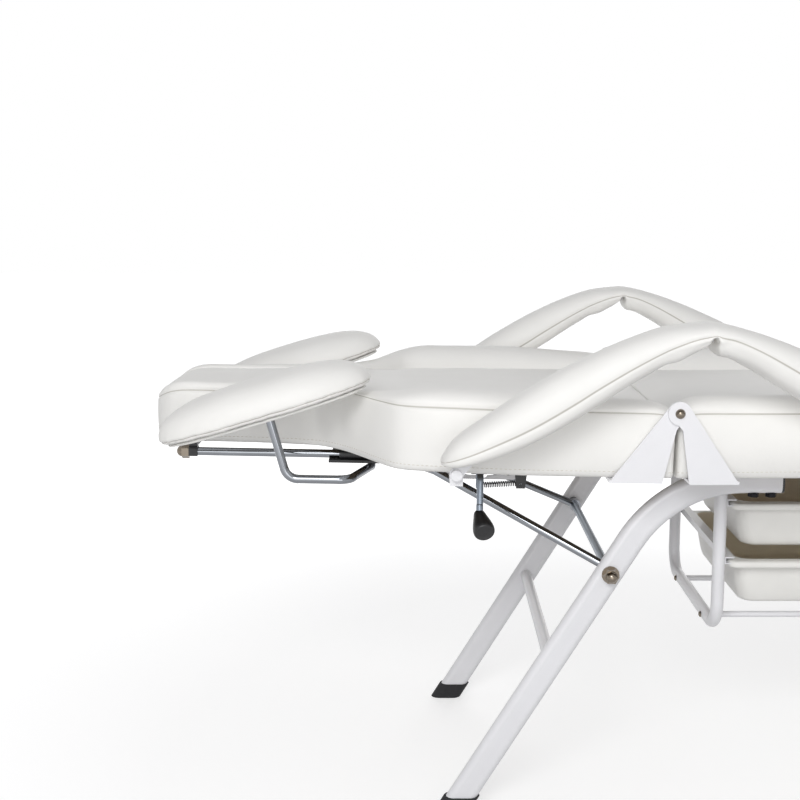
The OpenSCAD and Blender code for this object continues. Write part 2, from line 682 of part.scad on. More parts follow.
arm_xs = [-303, -297, -285, -258, -214, -170, -112, -71, -20, 2, 14, elbow[0] - 0.4];
module arm_pad(side) translate([hinge_x, 0, hinge_z]) mirror([0, side > 0 ? 0 : 1, 0])
    children();
module arm_skin() difference() {
    translate([0, arm_y, 0]) loft([for (x = arm_xs) arm_ring(x)]);
    core_body(soft_gap);
    translate([elbow[0], 0, elbow[1]])
        y_cylinder(9.2, arm_y - bar_w / 2 - soft_gap, arm_y + bar_w / 2 + soft_gap);
}
module arm_rear_r() color(vinyl) arm_pad(-1) arm_skin();
module arm_rear_l() color(vinyl) arm_pad(1) arm_skin();
module arm_front_r() color(vinyl) arm_pad(-1) mirror_elbow() arm_skin();
module arm_front_l() color(vinyl) arm_pad(1) mirror_elbow() arm_skin();

// A strap under the board that turns up into an ear beside the arm's lug, with a slot for its pin
ear_out = arm_y - 0.4;
ear_in = ear_out - plate_t;
module ear_strap(slot, r, rim) {
    top = -cushion_drop;
    reach = r + rim - 1;
    xs = [min([for (p = slot) p[0]]) - reach, max([for (p = slot) p[0]]) + reach];
    low = min([for (p = slot) p[1]]);
    difference() {
        union() {
            translate([xs[0], arm_y - 96, top - plate_t])
                cube([xs[1] - xs[0], ear_out - arm_y + 96, plate_t]);
            side_plate(ear_in, ear_out) {
                translate([xs[0], top - plate_t]) square([xs[1] - xs[0], low - top + plate_t]);
                chain(slot, r + rim);
            }
        }
        side_plate(ear_in - 1, ear_out + 1) chain(slot, r);
        translate([(xs[0] + xs[1]) / 2, arm_y - 84, top - 10]) cylinder(r = bolt_r + 0.2, h = 20);
    }
}

arm_pivot_back = turn(arm_pivot, back_tilt);
module arm_brackets() color(steel_white) on_back() both_sides()
    ear_strap([arm_pivot_back], bolt_r + run_gap, 5);

// Path of the front pivot when the backrest is lifted by a degrees
function front_at(a) = let (
        p = turn(arm_pivot, -a),
        lean = (arm_ratio - 1) * a,
        e = p + turn(elbow - arm_pivot, lean))
    e + turn(arm_front - elbow, lean - elbow_ratio * a);
front_path = [for (i = [0:8]) front_at(back_lift * i / 8)];
front_far = min([for (p = front_path) p[0]]);
front_slot = [[for (p = front_path) if (p[0] == front_far) p][0],
    (front_path[0] + front_path[8]) / 2];
front_mid = (front_slot[0][0] + front_slot[1][0]) / 2;

// Distance of p from the straight piece between a and b
function off_line(p, a, b) = let (t = (p - a) * (b - a) / ((b - a) * (b - a)))
    norm(p - mix(a, b, min(max(t, 0), 1)));
slot_bow = max([for (p = front_path) off_line(p, front_slot[0], front_slot[1])]);

module arm_slot_plates() color(steel_white) translate([hinge_x, 0, hinge_z]) both_sides()
    ear_strap(front_slot, bolt_r + soft_gap + slot_bow, 3);

module arm_bolts() color(black) on_back() both_sides()
    translate([arm_pivot_back[0], 0, arm_pivot_back[1]]) {
        y_cylinder(bolt_r, ear_in - 4.7, arm_y + lug_t + soft_gap);
        y_cylinder(7, arm_y + lug_t + soft_gap, arm_y + lug_t + 5);
        y_cylinder(7, ear_in - 4.7, ear_in - soft_gap);
    }

// ---------- bolts under the sections ----------
bite = 9;            // depth of a bolt in its board
module bolts_at(points, top) both_sides() for (p = points)
    translate([p[0], p[1], top - plate_t]) hex_bolt(plate_t + bite);
module bolt_holes(points, top) both_sides() for (p = points)
    translate([p[0], p[1], top - 1]) cylinder(r = bolt_r + run_gap, h = bite + 1.3);

seat_bolt_points = [[fan_inner + 16, outer_y + plate_t - 34], [fan_outer - 28, outer_y + plate_t - 34],
    [seat_l - 38, outer_y + plate_t - 34], [seat_l - 68, outer_y + plate_t - 34],
    [front_mid, arm_y - 84]];
back_bolt_points = [[-38, inner_y + plate_t - 30], [-66, inner_y + plate_t - 30],
    [arm_pivot_back[0], arm_y - 84]];
leg_bolt_points = [[38, inner_y + plate_t - 30], [68, inner_y + plate_t - 30]];
rack_bolt_points = [rack_span(back_slot)[0] + 25, rack_span(back_slot)[1] - 25];
rack_leg_points = [rack_span(leg_slot)[0] + 25, rack_span(leg_slot)[1] - 25];

module frame_bolts() color(black) {
    for (front = [false, true]) for (side = [-1, 1]) for (x = leg_bolt_x)
        on_frame(front) translate([x, side * leg_y, leg_top - leg_h / 2])
            hex_bolt(leg_h + bite);
    translate([hinge_x, 0, 0]) bolts_at(seat_bolt_points, seat_under);
}

module back_bolts() color(black) on_back() {
    bolts_at(back_bolt_points, -cushion_drop);
    bolts_at([for (x = rack_bolt_points) [x, rack_y - 10]], -cushion_drop);
}

module leg_bolts() color(black) on_leg_rest() {
    bolts_at(leg_bolt_points, -2);
    bolts_at([for (x = rack_leg_points) [x, rack_y - 10]], -2);
}

// ---------- lever ----------
lever_at = [-246, -cushion_drop - 12];
lever_r = 4.5;
lever_y = 224;
lever_lean = 13;     // lean of the hanging leg away from the middle plane, in degrees
grip_from = 38;      // distance from the lever's bend to the top of the grip
grip_l = 44;
grip_r = 14.5;

// Along the lever's hanging leg, from its bend, with -z towards the grip
module on_lever_leg() on_back() translate([lever_at[0], -lever_y, lever_at[1]])
    rotate([-lever_lean, 0, 0]) children();

module lever() color(zinc) on_back() {
    bend_at = [lever_at[0], -lever_y, lever_at[1]];
    bent_rod([[lever_at[0], -60, lever_at[1]], bend_at,
        bend_at - (grip_from + 16) * [0, sin(lever_lean), cos(lever_lean)]], lever_r, 14);
    // Finger that reaches for the strut's crossbar
    translate([lever_at[0], 0, lever_at[1]]) side_plate(-66, -60) chain([[0, 0], [-16, -14]], 6);
    // Lug for the spring
    translate([lever_at[0], 0, lever_at[1]]) side_plate(lug_span[0], lug_span[1])
        difference() {
            chain([[0, 0], spring_start], 5);
            translate(spring_start) circle(r = spring_eye_r);
        }
}

module lever_grip() color(black) on_lever_leg() translate([0, 0, -grip_from]) difference() {
    rotate([180, 0, 0]) rotate_extrude() intersection() {
        union() {
            translate([0, grip_l - grip_r]) circle(r = grip_r);
            polygon([[0, -6], [6.5, -6], [8, 4], [grip_r * 0.985, grip_l - grip_r - 2.4],
                [0, grip_l - grip_r]]);
        }
        translate([0, -20]) square([40, 100]);
    }
    translate([0, 0, -22]) cylinder(r = lever_r + run_gap, h = 40);
}

clamp_y = [[-110, -90], [-196, -176]];
module lever_clamps() color(black) on_back() {
    for (y = clamp_y) translate([lever_at[0], 0, 0]) difference() {
        translate([-11, y[0], -cushion_drop - 20]) cube([22, y[1] - y[0], 20]);
        translate([0, 0, lever_at[1]]) y_cylinder(lever_r + run_gap, y[0] - 1, y[1] + 1);
    }
    // Tab that holds the fixed end of the spring
    translate([lever_at[0], 0, lever_at[1]]) difference() {
        side_plate(lug_span[0], lug_span[1]) polygon([[spring_end[0] - 6, spring_end[1] - 6],
            [spring_end[0] + 6, spring_end[1] - 6], [spring_end[0] + 10, 12], [spring_end[0] - 10, 12]]);
        translate([spring_end[0], 0, spring_end[1]])
            y_cylinder(spring_eye_r, lug_span[0] - 1, lug_span[1] + 1);
    }
}

// Extension spring between the lever's lug and its tab, from the lever's axis
spring_start = [0, -22];
spring_end = [56, -18];
spring_eye_r = 1.5;
lug_span = [-209, -206];
spring_r = 3.9;
wire_r = 0.65;
curls = 18;
curl_rings = 8;
hook = 6;            // length from an eye to the first curl
spring_y = lug_span[1] + spring_r + wire_r + 0.5;
function spring_path(span) = let (coil = span - 2 * hook, eye_y = lug_span[0] - 1.5 - spring_y) concat(
    [[-span / 2, eye_y, 0], [-span / 2, -2, 0], [-span / 2 + 2, 0, 0]],
    [for (i = [0:curls * curl_rings]) let (t = 360 * i / curl_rings)
        [coil * (i / (curls * curl_rings) - 0.5), spring_r * cos(t), spring_r * sin(t)]],
    [[span / 2 - 2, 0, 0], [span / 2, -2, 0], [span / 2, eye_y, 0]]);

module lever_spring() {
    span = spring_end - spring_start;
    path = spring_path(norm(span));
    last = len(path) - 1;
    echo(spring_gap = min([for (i = [0:last]) for (j = [i + 1:last])
        if (j - i >= curl_rings * 0.75) norm(path[i] - path[j])]) - 2 * wire_r);
    color(zinc) on_back() translate([lever_at[0], spring_y, lever_at[1]])
        translate([(spring_start[0] + spring_end[0]) / 2, 0, (spring_start[1] + spring_end[1]) / 2])
        rotate([0, -atan2(span[1], span[0]), 0]) loft([for (i = [0:last]) wire_ring(path, i)]);
}

// Six points round the path at point i, square to its direction
function wire_ring(path, i) = let (
        d = unit(path[min(i + 1, len(path) - 1)] - path[max(i - 1, 0)]),
        u = unit(cross(d, [0.12, 0.08, 1])), v = cross(d, u))
    [for (t = [0:60:300]) path[i] + wire_r * (u * cos(t) + v * sin(t))];

// ---------- forearm pads and their sliding frame ----------
guide_z = -cushion_drop - 13.5;
guide_y = 105;
guide_r = 6;
guide_x = [-(back_board_end - 17), -290];
slider_x = [-443, -395];
carriage_x = [-458, -384];
crossbar_x = -397;
plate_drop = 4;      // thickness of the carriage plate
crossbar_z = guide_z - guide_r - soft_gap - plate_drop - guide_r;
pad_at = [-536, -28];

module guide_rods() color(chrome) on_back() both_sides() translate([0, guide_y, guide_z])
    rotate([0, 90, 0]) translate([0, 0, guide_x[0]]) cylinder(r = guide_r, h = guide_x[1] - guide_x[0]);

module rod_nuts() color(chrome) on_back() both_sides()
    translate([guide_x[0] + 9, guide_y, guide_z]) rotate([0, -90, 0]) dome_nut(2 * guide_r);

module rod_holders() color(black) on_back() both_sides()
    for (x = [guide_x[0] + 9, guide_x[1] - 14]) difference() {
        union() {
            translate([x, guide_y, guide_z]) rotate([0, 90, 0]) cylinder(r = 10.5, h = 12, $fn = 6);
            translate([x, 50, -cushion_drop - 5]) cube([12, guide_y + 4 - 50, 5]);
        }
        translate([x - 1, guide_y, guide_z]) rotate([0, 90, 0])
            cylinder(r = guide_r + run_gap, h = 14);
        // Clears the carriage plate, which slides below
        translate([x - 1, 0, crossbar_z - 20]) cube([14, 200, 20 + guide_r + plate_drop + soft_gap]);
    }

module pad_carriage() color(black) on_back() difference() {
    union() {
        both_sides() translate([slider_x[0], guide_y, guide_z]) rotate([0, 90, 0])
            cylinder(r = 10, h = slider_x[1] - slider_x[0]);
        translate([carriage_x[0], -guide_y - 14, crossbar_z + guide_r])
            cube([carriage_x[1] - carriage_x[0], 2 * guide_y + 28, plate_drop]);
    }
    both_sides() translate([carriage_x[0] - 1, guide_y, guide_z]) rotate([0, 90, 0])
        cylinder(r = guide_r + run_gap, h = 100);
    translate([carriage_x[0] - 1, -200, crossbar_z - 14]) cube([200, 400, 14 + guide_r]);
}

stem_top = [pad_at[0] + 2, pad_at[1] - 1];
stem_foot_x = -508;
bar_end_x = -424;
base_t = 5;
module pad_frame() color(chrome) on_back() difference() {
    union() {
        bent_rod([[stem_top[0], -pad_y, stem_top[1]], [stem_foot_x, -pad_y, crossbar_z],
            [bar_end_x, -pad_y, crossbar_z], [crossbar_x, -guide_y - 4, crossbar_z],
            [crossbar_x, guide_y + 4, crossbar_z], [bar_end_x, pad_y, crossbar_z],
            [stem_foot_x, pad_y, crossbar_z], [stem_top[0], pad_y, stem_top[1]]], guide_r, 20);
        both_sides() translate([pad_at[0], pad_y, pad_at[1]]) rotate([0, -pad_slope, 0])
            translate([4, 0, -base_t - 3.6]) cylinder(r = 22, h = 3);
    }
    both_sides() translate([pad_at[0], pad_y, pad_at[1]]) rotate([0, -pad_slope, 0])
        translate([-60, -60, -base_t - 0.6]) cube([120, 120, 60]);
}

function oval(u) = pow(1 - pow(abs(u), 2.5), 0.42);
function pad_ring(u) = let (
        k = oval(u), hw = pad_w / 2 * k, top = pad_t * pow(k, 0.8), seam = 11 * pow(k, 0.5) + 1)
    [for (t = [0:24:336]) let (s = sin(t))
        [u * pad_l / 2, hw * signed_pow(cos(t), s > 0 ? 0.8 : 0.45),
            seam + (s > 0 ? top - seam : seam) * signed_pow(s, s > 0 ? 0.85 : 0.6)]];
pad_us = [-0.995, -0.975, -0.92, -0.82, -0.66, -0.42, -0.14, 0.14, 0.42, 0.66, 0.82, 0.92, 0.975, 0.995];

module at_pad(side) on_back() translate([pad_at[0], side * pad_y, pad_at[1]])
    rotate([0, -pad_slope, 0]) children();
module forearm_pad_r() color(vinyl) at_pad(-1) loft([for (u = pad_us) pad_ring(u)]);
module forearm_pad_l() color(vinyl) at_pad(1) loft([for (u = pad_us) pad_ring(u)]);

module pad_bases() color(vinyl) for (side = [-1, 1]) at_pad(side) translate([0, 0, -base_t - 0.3])
    linear_extrude(base_t) polygon([for (t = [0:10:350])
        [(pad_l / 2 - 10) * signed_pow(cos(t), 0.85), (pad_w / 2 - 14) * signed_pow(sin(t), 0.85)]]);

// ---------- tray frames ----------
tray_z = [tray_low_z, tray_low_z + tray_pitch];
hoop_x = tray_w / 2 + 15;
hoop_y = tray_l / 2 + 7;
hoop_low = tray_low_z - tray_h - 30;
hoop_bend = 38;
rail_y = 90;
rail_r = 4.5;
tray_mid = frame_x;

module hoop(r) {
    for (s = [-1, 1]) {
        translate([0, s * hoop_y, hoop_low + hoop_bend])
            cylinder(r = r, h = seat_under - 3 - hoop_low - hoop_bend);
        translate([0, s * (hoop_y - hoop_bend), hoop_low + hoop_bend]) rotate([0, -90, 0])
            rotate([0, 0, s > 0 ? 90 : 180]) rotate_extrude(angle = 90)
            translate([hoop_bend, 0]) circle(r = r);
    }
    translate([0, 0, hoop_low]) y_cylinder(r, -hoop_y + hoop_bend, hoop_y - hoop_bend);
}

module tray_frame(front) color(steel_white) translate([tray_mid, 0, 0])
    mirror([front ? 1 : 0, 0, 0]) translate([-hoop_x, 0, 0]) {
        difference() {
            hoop(hoop_d / 2);
            hoop(hoop_d / 2 - tube_wall);
        }
        for (s = [-1, 1]) translate([-14, s * hoop_y - 14, seat_under - 3]) cube([28, 28, 3]);
    }

module tray_rails() color(steel_white) translate([tray_mid, 0, hoop_low]) for (s = [-1, 1])
    translate([-hoop_x + hoop_d / 2, s * rail_y, 0]) rotate([0, 90, 0])
        cylinder(r = rail_r, h = 2 * hoop_x - hoop_d);

module rail_screws() color(chrome) for (front = [false, true]) translate([tray_mid, 0, hoop_low])
    mirror([front ? 1 : 0, 0, 0]) for (s = [-1, 1]) translate([-hoop_x - hoop_d / 2, s * rail_y, 0])
        intersection() {
            translate([2.5, 0, 0]) sphere(r = 5.5);
            translate([-4, -8, -8]) cube([4, 16, 16]);
        }

// Channels in which the tray rims slide, open towards the trays
runner_h = 10;
runner_w = 13;
runner_t = 1.5;
rim_t = 3;
runner_low = -rim_t / 2 - soft_gap - runner_t;
module runners(front) color(steel_white) translate([tray_mid, 0, 0])
    mirror([front ? 1 : 0, 0, 0]) for (z = tray_z)
        translate([-hoop_x + hoop_d / 2, -hoop_y, z + runner_low]) difference() {
            cube([runner_w, 2 * hoop_y, runner_h]);
            translate([runner_t, -1, runner_t])
                cube([runner_w, 2 * hoop_y + 2, runner_h - 2 * runner_t]);
        }

// A tapered tub with a rim all round; the rim's lip at the front hides the channels
module tub(l0, l1, w0, w1, h, r) hull() for (x = [-1, 1]) for (y = [-1, 1]) {
    translate([x * (w1 / 2 - r), y * (l1 / 2 - r), 0]) cylinder(r = r, h = 0.1, $fn = 32);
    translate([x * (w0 / 2 - r), y * (l0 / 2 - r), h - 0.1]) cylinder(r = r, h = 0.1, $fn = 32);
}

tub_w = tray_w - 24;
tub_wall = 2.2;
module tray(z) color(tray_white) translate([tray_mid, 0, z]) difference() {
    union() {
        translate([0, 0, -tray_h]) tub(tray_l - 10, tray_l - 30, tub_w, tub_w - 20, tray_h, 22);
        translate([-tray_w / 2, -tray_l / 2, -rim_t / 2]) cube([tray_w, tray_l, rim_t]);
        translate([-tray_w / 2 - 2, -tray_l / 2 - 12, -9]) cube([tray_w + 4, 14, 9 + rim_t / 2]);
    }
    translate([0, 0, -tray_h + tub_wall]) tub(tray_l - 10 - 2 * tub_wall, tray_l - 30 - 2 * tub_wall,
        tub_w - 2 * tub_wall, tub_w - 20 - 2 * tub_wall, tray_h + 10, 20);
    translate([-tray_w, -tray_l / 2 - 10, -20]) cube([2 * tray_w, 13, 20 - rim_t / 2]);
}

leg(false, -1);  // leg_rear_r
leg(false, 1);  // leg_rear_l
leg(true, -1);  // leg_front_r
leg(true, 1);  // leg_front_l
braces();
foot_caps();
tube_caps();
shafts();
shaft_bushes();
washers();
dome_nuts();
frame_bolts();
seat_board();
seat_cushion();
hinge_plates_seat();
hinge_screws();
foot_plates_seat();
arm_slot_plates();
tray_frame(false);  // tray_frame_rear
tray_frame(true);  // tray_frame_front
tray_rails();
rail_screws();
runners(false);  // runners_rear
runners(true);  // runners_front
tray(tray_z[1]);  // tray_upper
tray(tray_z[0]);  // tray_lower
back_board();
back_cushion();
hinge_plates_back();
back_bolts();
rack_back();
arm_brackets();
arm_bolts();
guide_rods();
rod_nuts();
rod_holders();
lever_clamps();
lever();
lever_grip();
lever_spring();
strut_back();
pad_carriage();
pad_frame();
pad_bases();
forearm_pad_r();
forearm_pad_l();
arm_rear_r();
arm_rear_l();
arm_front_r();
arm_front_l();
core_rear(-1);  // core_rear_r
core_rear(1);  // core_rear_l
core_front(-1);  // core_front_r
core_front(1);  // core_front_l
leg_board();
leg_cushion();
foot_plates_leg();
leg_bolts();
rack_leg();
strut_leg();
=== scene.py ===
import json
import math

import bmesh
import bpy
import numpy as np
from bpy.props import FloatProperty, FloatVectorProperty, PointerProperty
from bpy.types import Operator, Panel, PropertyGroup
from mathutils import Matrix, Vector, noise
from mathutils.bvhtree import BVHTree


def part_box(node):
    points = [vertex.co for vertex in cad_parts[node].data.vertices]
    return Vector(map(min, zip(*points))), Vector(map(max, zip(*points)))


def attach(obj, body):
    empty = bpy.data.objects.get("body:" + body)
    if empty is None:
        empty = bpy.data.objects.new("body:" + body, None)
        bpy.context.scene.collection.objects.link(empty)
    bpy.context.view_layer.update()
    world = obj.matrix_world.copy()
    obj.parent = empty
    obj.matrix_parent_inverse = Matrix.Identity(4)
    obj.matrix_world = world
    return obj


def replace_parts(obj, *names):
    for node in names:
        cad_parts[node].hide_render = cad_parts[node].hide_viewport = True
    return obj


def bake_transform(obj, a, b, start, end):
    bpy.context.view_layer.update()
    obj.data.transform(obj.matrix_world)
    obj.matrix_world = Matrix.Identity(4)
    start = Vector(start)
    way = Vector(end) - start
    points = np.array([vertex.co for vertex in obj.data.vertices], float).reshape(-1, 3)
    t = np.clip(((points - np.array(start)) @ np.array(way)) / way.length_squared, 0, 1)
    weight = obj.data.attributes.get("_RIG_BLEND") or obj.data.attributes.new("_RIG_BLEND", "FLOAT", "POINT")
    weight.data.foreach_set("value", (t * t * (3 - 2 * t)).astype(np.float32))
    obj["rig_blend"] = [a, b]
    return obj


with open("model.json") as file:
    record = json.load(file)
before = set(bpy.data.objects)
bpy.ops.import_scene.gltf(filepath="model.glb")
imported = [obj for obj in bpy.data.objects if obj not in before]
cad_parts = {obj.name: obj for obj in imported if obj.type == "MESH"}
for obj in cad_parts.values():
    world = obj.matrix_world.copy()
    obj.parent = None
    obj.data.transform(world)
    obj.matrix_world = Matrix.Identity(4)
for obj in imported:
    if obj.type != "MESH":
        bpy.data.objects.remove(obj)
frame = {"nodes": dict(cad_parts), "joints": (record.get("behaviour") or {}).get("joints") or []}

bl_info = {
    "name": "Reclining Treatment Chair",
    "version": (1, 0, 0),
    "blender": (4, 5, 0),
    "location": "3D View > Sidebar > Chair",
    "description": "Upholstery, finishes and studio for a reclining treatment chair",
    "category": "Object",
}

MM = 0.001  # the shapes below are worked out in millimetres
# The seam attribute carries painted shade: how dark each point is painted where a seam or crease is shaded
SEAM_SHADE = "seam"  # what a cover's mesh calls the share of a seam at each point


def linear(code):
    """Linear colour of an sRGB hex code."""
    shares = [int(code[i:i + 2], 16) / 255 for i in (0, 2, 4)]
    return tuple(c / 12.92 if c <= 0.04045 else ((c + 0.055) / 1.055) ** 2.4 for c in shares)


def joint_place(name):
    """Where a joint's axis lies, in metres."""
    joint = next(j for j in frame["joints"] if j["name"] == name)
    return Vector(joint["pos_m"])


# ---------- sizes and colours that a user may change ----------
def length_choice(name, description, default, least=0.0):
    """A length that a user may change, in metres."""
    return FloatProperty(
        name=name, description=description, default=default, min=least, unit="LENGTH")


def angle_choice(name, description, degrees):
    """An angle that a user may change."""
    return FloatProperty(
        name=name, description=description, default=math.radians(degrees), unit="ROTATION")


def colour_choice(name, description, code):
    """A colour that a user may change, from its sRGB hex code."""
    return FloatVectorProperty(
        name=name, description=description, default=linear(code), subtype="COLOR")


class ChairSizes(PropertyGroup):
    """Sizes of the upholstery and of the camera's place."""

    cushion_w: length_choice(
        "Cushion width", "Width of the seat and of the wide part of the back", 0.600, 0.4)
    head_w: length_choice("Head width", "Width of the backrest at the head end", 0.204, 0.1)
    cushion_t: length_choice(
        "Cushion depth", "From the underside to the hinge's height", 0.088, 0.05)
    bolster_w: length_choice(
        "Bolster width", "Width of the rolled edge along the sides", 0.070, 0.02)
    back_tilt: angle_choice("Back tilt", "Rise of the backrest at rest", 1.1)
    swell: length_choice("Swell", "How far the foam may push a cover out", 0.005)
    stitch_pitch: length_choice(
        "Stitch pitch", "Distance from stitch to stitch in the hem", 0.006, 0.003)
    pad_l: length_choice("Pad length", "Length of a forearm pad", 0.300, 0.1)
    pad_w: length_choice("Pad width", "Width of a forearm pad", 0.145, 0.05)
    pad_t: length_choice("Pad thickness", "Height of a forearm pad's crown", 0.052, 0.02)
    pad_slope: angle_choice("Pad slope", "Rise of a forearm pad over the backrest", 17.9)
    lens: FloatProperty(
        name="Lens", description="Focal length of the camera in millimetres", default=55.575)
    camera_pitch: angle_choice("Camera pitch", "How far the camera looks down", 8.88)


class ChairColours(PropertyGroup):
    """Colours of the finishes."""

    vinyl: colour_choice("Vinyl", "Upholstery vinyl", "F2F1EE")
    # Painted shade of seams and creases; a little of it also mottles the plain vinyl at random
    vinyl_mottle_and_seam_shade: colour_choice("Vinyl in the seams", "Vinyl where it turns into a seam", "9C968B")
    thread: colour_choice("Thread", "Stitching thread", "DAD6CC")
    powder: colour_choice("Powder coat", "White steel parts", "E9E9EC")
    # Painted reflection: chrome's colour dimmed to stand in for the dark surroundings that the rods mirror
    chrome: colour_choice("Chrome", "Bright plated rods", "8B8E93")
    zinc: colour_choice("Zinc", "Blue zinc plated parts", "858D97")
    # Painted reflection: nickel's colour dimmed to stand in for the dark surroundings that the nuts mirror
    nickel: colour_choice("Nickel", "Dome nuts, washers and screw heads", "80776C")
    black: colour_choice("Black", "Grip, caps, holders and blackened bolts", "1B1B1D")
    ply: colour_choice("Plywood", "Boards under the cushions", "9B8B76")
    tray: colour_choice("Tray outside", "Outside of the storage trays", "EFEEEA")
    # Painted shade: the white tray plastic, tinted warm as it looks in the shade inside the tubs
    tray_inside_shade: colour_choice("Tray inside", "Inside of the storage trays", "F1E7D3")
    backdrop: colour_choice("Backdrop", "What the camera sees behind", "FFFFFF")


# ---------- materials ----------
def add_node(tree, kind, inputs=None, **settings):
    """Add a shader node with its settings, and its inputs as values, colours or links."""
    node = tree.nodes.new(kind)
    for key, value in settings.items():
        setattr(node, key, value)
    for key, value in (inputs or {}).items():
        socket = node.inputs[key]
        if isinstance(value, bpy.types.NodeSocket):
            tree.links.new(value, socket)
        elif socket.type == "RGBA" and len(value) == 3:
            socket.default_value = (*value, 1)
        else:
            socket.default_value = value
    return node


def cleared_tree(owner):
    """The emptied node tree of a material or a world."""
    owner.use_nodes = True
    owner.node_tree.nodes.clear()
    return owner.node_tree


def new_material(name):
    """Tree of a new material, and the socket that gives places on the object in metres."""
    tree = cleared_tree(bpy.data.materials.new(name))
    return tree, add_node(tree, "ShaderNodeTexCoord").outputs["Object"]


def close_material(tree, **sockets):
    """End a material in its shader, whose sockets have these values or links."""
    shader = add_node(tree, "ShaderNodeBsdfPrincipled", {
        key.replace("_", " "): value for key, value in sockets.items()})
    add_node(tree, "ShaderNodeOutputMaterial", {"Surface": shader.outputs[0]})


def per_metre(size_mm):
    """Texture scale at which a feature has this size in millimetres."""
    return 1000 / size_mm


def shade_of(colour, share):
    """A colour darkened or lightened to a share of itself."""
    return tuple(share * c for c in colour)


def embossed_vinyl(colours):
    """PVC coated cloth, embossed: a soft broad sheen, a fine leather grain, and painted shade in its seams
    and creases.
    """
    tree, place = new_material("embossed_vinyl")
    # A real grain cell is 0.8 mm wide, which is too fine to show, so it is drawn 2.2 mm wide
    grain = add_node(tree, "ShaderNodeTexVoronoi", {
        "Vector": place, "Scale": per_metre(2.2)}, feature="DISTANCE_TO_EDGE")
    broad = add_node(tree, "ShaderNodeTexNoise", {
        "Vector": place, "Scale": per_metre(45), "Detail": 3.0})
    fine = add_node(tree, "ShaderNodeTexNoise", {
        "Vector": place, "Scale": per_metre(9), "Detail": 4.0})
    seam = add_node(tree, "ShaderNodeAttribute", attribute_name=SEAM_SHADE)
    tone = add_node(tree, "ShaderNodeMapRange", {
        "Value": broad.outputs["Fac"], "From Min": 0.3, "From Max": 0.7,
        "To Min": 0.0, "To Max": 0.03})
    plain = add_node(tree, "ShaderNodeMix", {
        0: tone.outputs["Result"], 6: colours.vinyl, 7: colours.vinyl_mottle_and_seam_shade}, data_type="RGBA")
    # Painted shade: where the seam attribute is high, the vinyl darkens to the seam shade colour
    line = add_node(tree, "ShaderNodeMapRange", {
        "Value": seam.outputs["Fac"], "From Min": 0.45, "From Max": 1.0})
    colour = add_node(tree, "ShaderNodeMix", {
        0: line.outputs["Result"], 6: plain.outputs[2], 7: colours.vinyl_mottle_and_seam_shade}, data_type="RGBA")
    gloss = add_node(tree, "ShaderNodeMapRange", {
        "Value": fine.outputs["Fac"], "To Min": 0.40, "To Max": 0.56})
    dents = add_node(tree, "ShaderNodeBump", {
        "Height": fine.outputs["Fac"], "Strength": 0.25, "Distance": 0.8 * MM})
    bump = add_node(tree, "ShaderNodeBump", {
        "Height": grain.outputs["Distance"], "Strength": 0.18, "Distance": 0.3 * MM,
        "Normal": dents.outputs["Normal"]})
    close_material(
        tree, Base_Color=colour.outputs[2], Roughness=gloss.outputs["Result"], IOR=1.52,
        Specular_IOR_Level=0.35, Normal=bump.outputs["Normal"])


def powder_coated_steel(colours):
    """Steel with a baked white powder coat: hard gloss over a faint orange peel."""
    tree, place = new_material("powder_coated_steel")
    peel = add_node(tree, "ShaderNodeTexNoise", {
        "Vector": place, "Scale": per_metre(3), "Detail": 1.0})
    cloud = add_node(tree, "ShaderNodeTexNoise", {"Vector": place, "Scale": per_metre(60)})
    tone = add_node(tree, "ShaderNodeMapRange", {
        "Value": cloud.outputs["Fac"], "From Min": 0.35, "From Max": 0.65, "To Max": 0.06})
    colour = add_node(tree, "ShaderNodeMix", {
        0: tone.outputs["Result"], 6: colours.powder, 7: shade_of(colours.powder, 0.6)},
        data_type="RGBA")
    bump = add_node(tree, "ShaderNodeBump", {
        "Height": peel.outputs["Fac"], "Strength": 0.12, "Distance": 0.2 * MM})
    close_material(
        tree, Base_Color=colour.outputs[2], Roughness=0.33, IOR=1.5, Coat_Weight=0.3,
        Coat_Roughness=0.12, Normal=bump.outputs["Normal"])


def plated_metal(name, colour, low, high, spangle_mm):
    """Electroplated steel: a clean mirror for chrome, cloudier for zinc, with faint smears."""
    tree, place = new_material(name)
    smear = add_node(tree, "ShaderNodeTexNoise", {
        "Vector": place, "Scale": per_metre(14), "Detail": 5.0})
    spangle = add_node(tree, "ShaderNodeTexVoronoi", {
        "Vector": place, "Scale": per_metre(spangle_mm)})
    rough = add_node(tree, "ShaderNodeMapRange", {
        "Value": smear.outputs["Fac"], "To Min": low, "To Max": high})
    tone = add_node(tree, "ShaderNodeMapRange", {
        "Value": spangle.outputs["Distance"], "From Max": 0.6, "To Max": 0.18})
    tinted = add_node(tree, "ShaderNodeMix", {
        0: tone.outputs["Result"], 6: colour, 7: shade_of(colour, 0.55)}, data_type="RGBA")
    close_material(
        tree, Base_Color=tinted.outputs[2], Metallic=1.0, Roughness=rough.outputs["Result"])


def moulded_plastic(name, colour, rough, texture_mm, depth_mm):
    """Injection moulded plastic: an even colour and the fine eroded texture of its mould."""
    tree, place = new_material(name)
    cloud = add_node(tree, "ShaderNodeTexNoise", {"Vector": place, "Scale": per_metre(30)})
    tone = add_node(tree, "ShaderNodeMapRange", {
        "Value": cloud.outputs["Fac"], "From Min": 0.3, "From Max": 0.7, "To Max": 0.12})
    tinted = add_node(tree, "ShaderNodeMix", {
        0: tone.outputs["Result"], 6: colour, 7: shade_of(colour, 0.7)}, data_type="RGBA")
    pits = add_node(tree, "ShaderNodeTexNoise", {
        "Vector": place, "Scale": per_metre(texture_mm), "Detail": 2.0})
    bump = add_node(tree, "ShaderNodeBump", {
        "Height": pits.outputs["Fac"], "Strength": 0.3, "Distance": depth_mm * MM})
    close_material(
        tree, Base_Color=tinted.outputs[2], Roughness=rough, IOR=1.49,
        Normal=bump.outputs["Normal"])


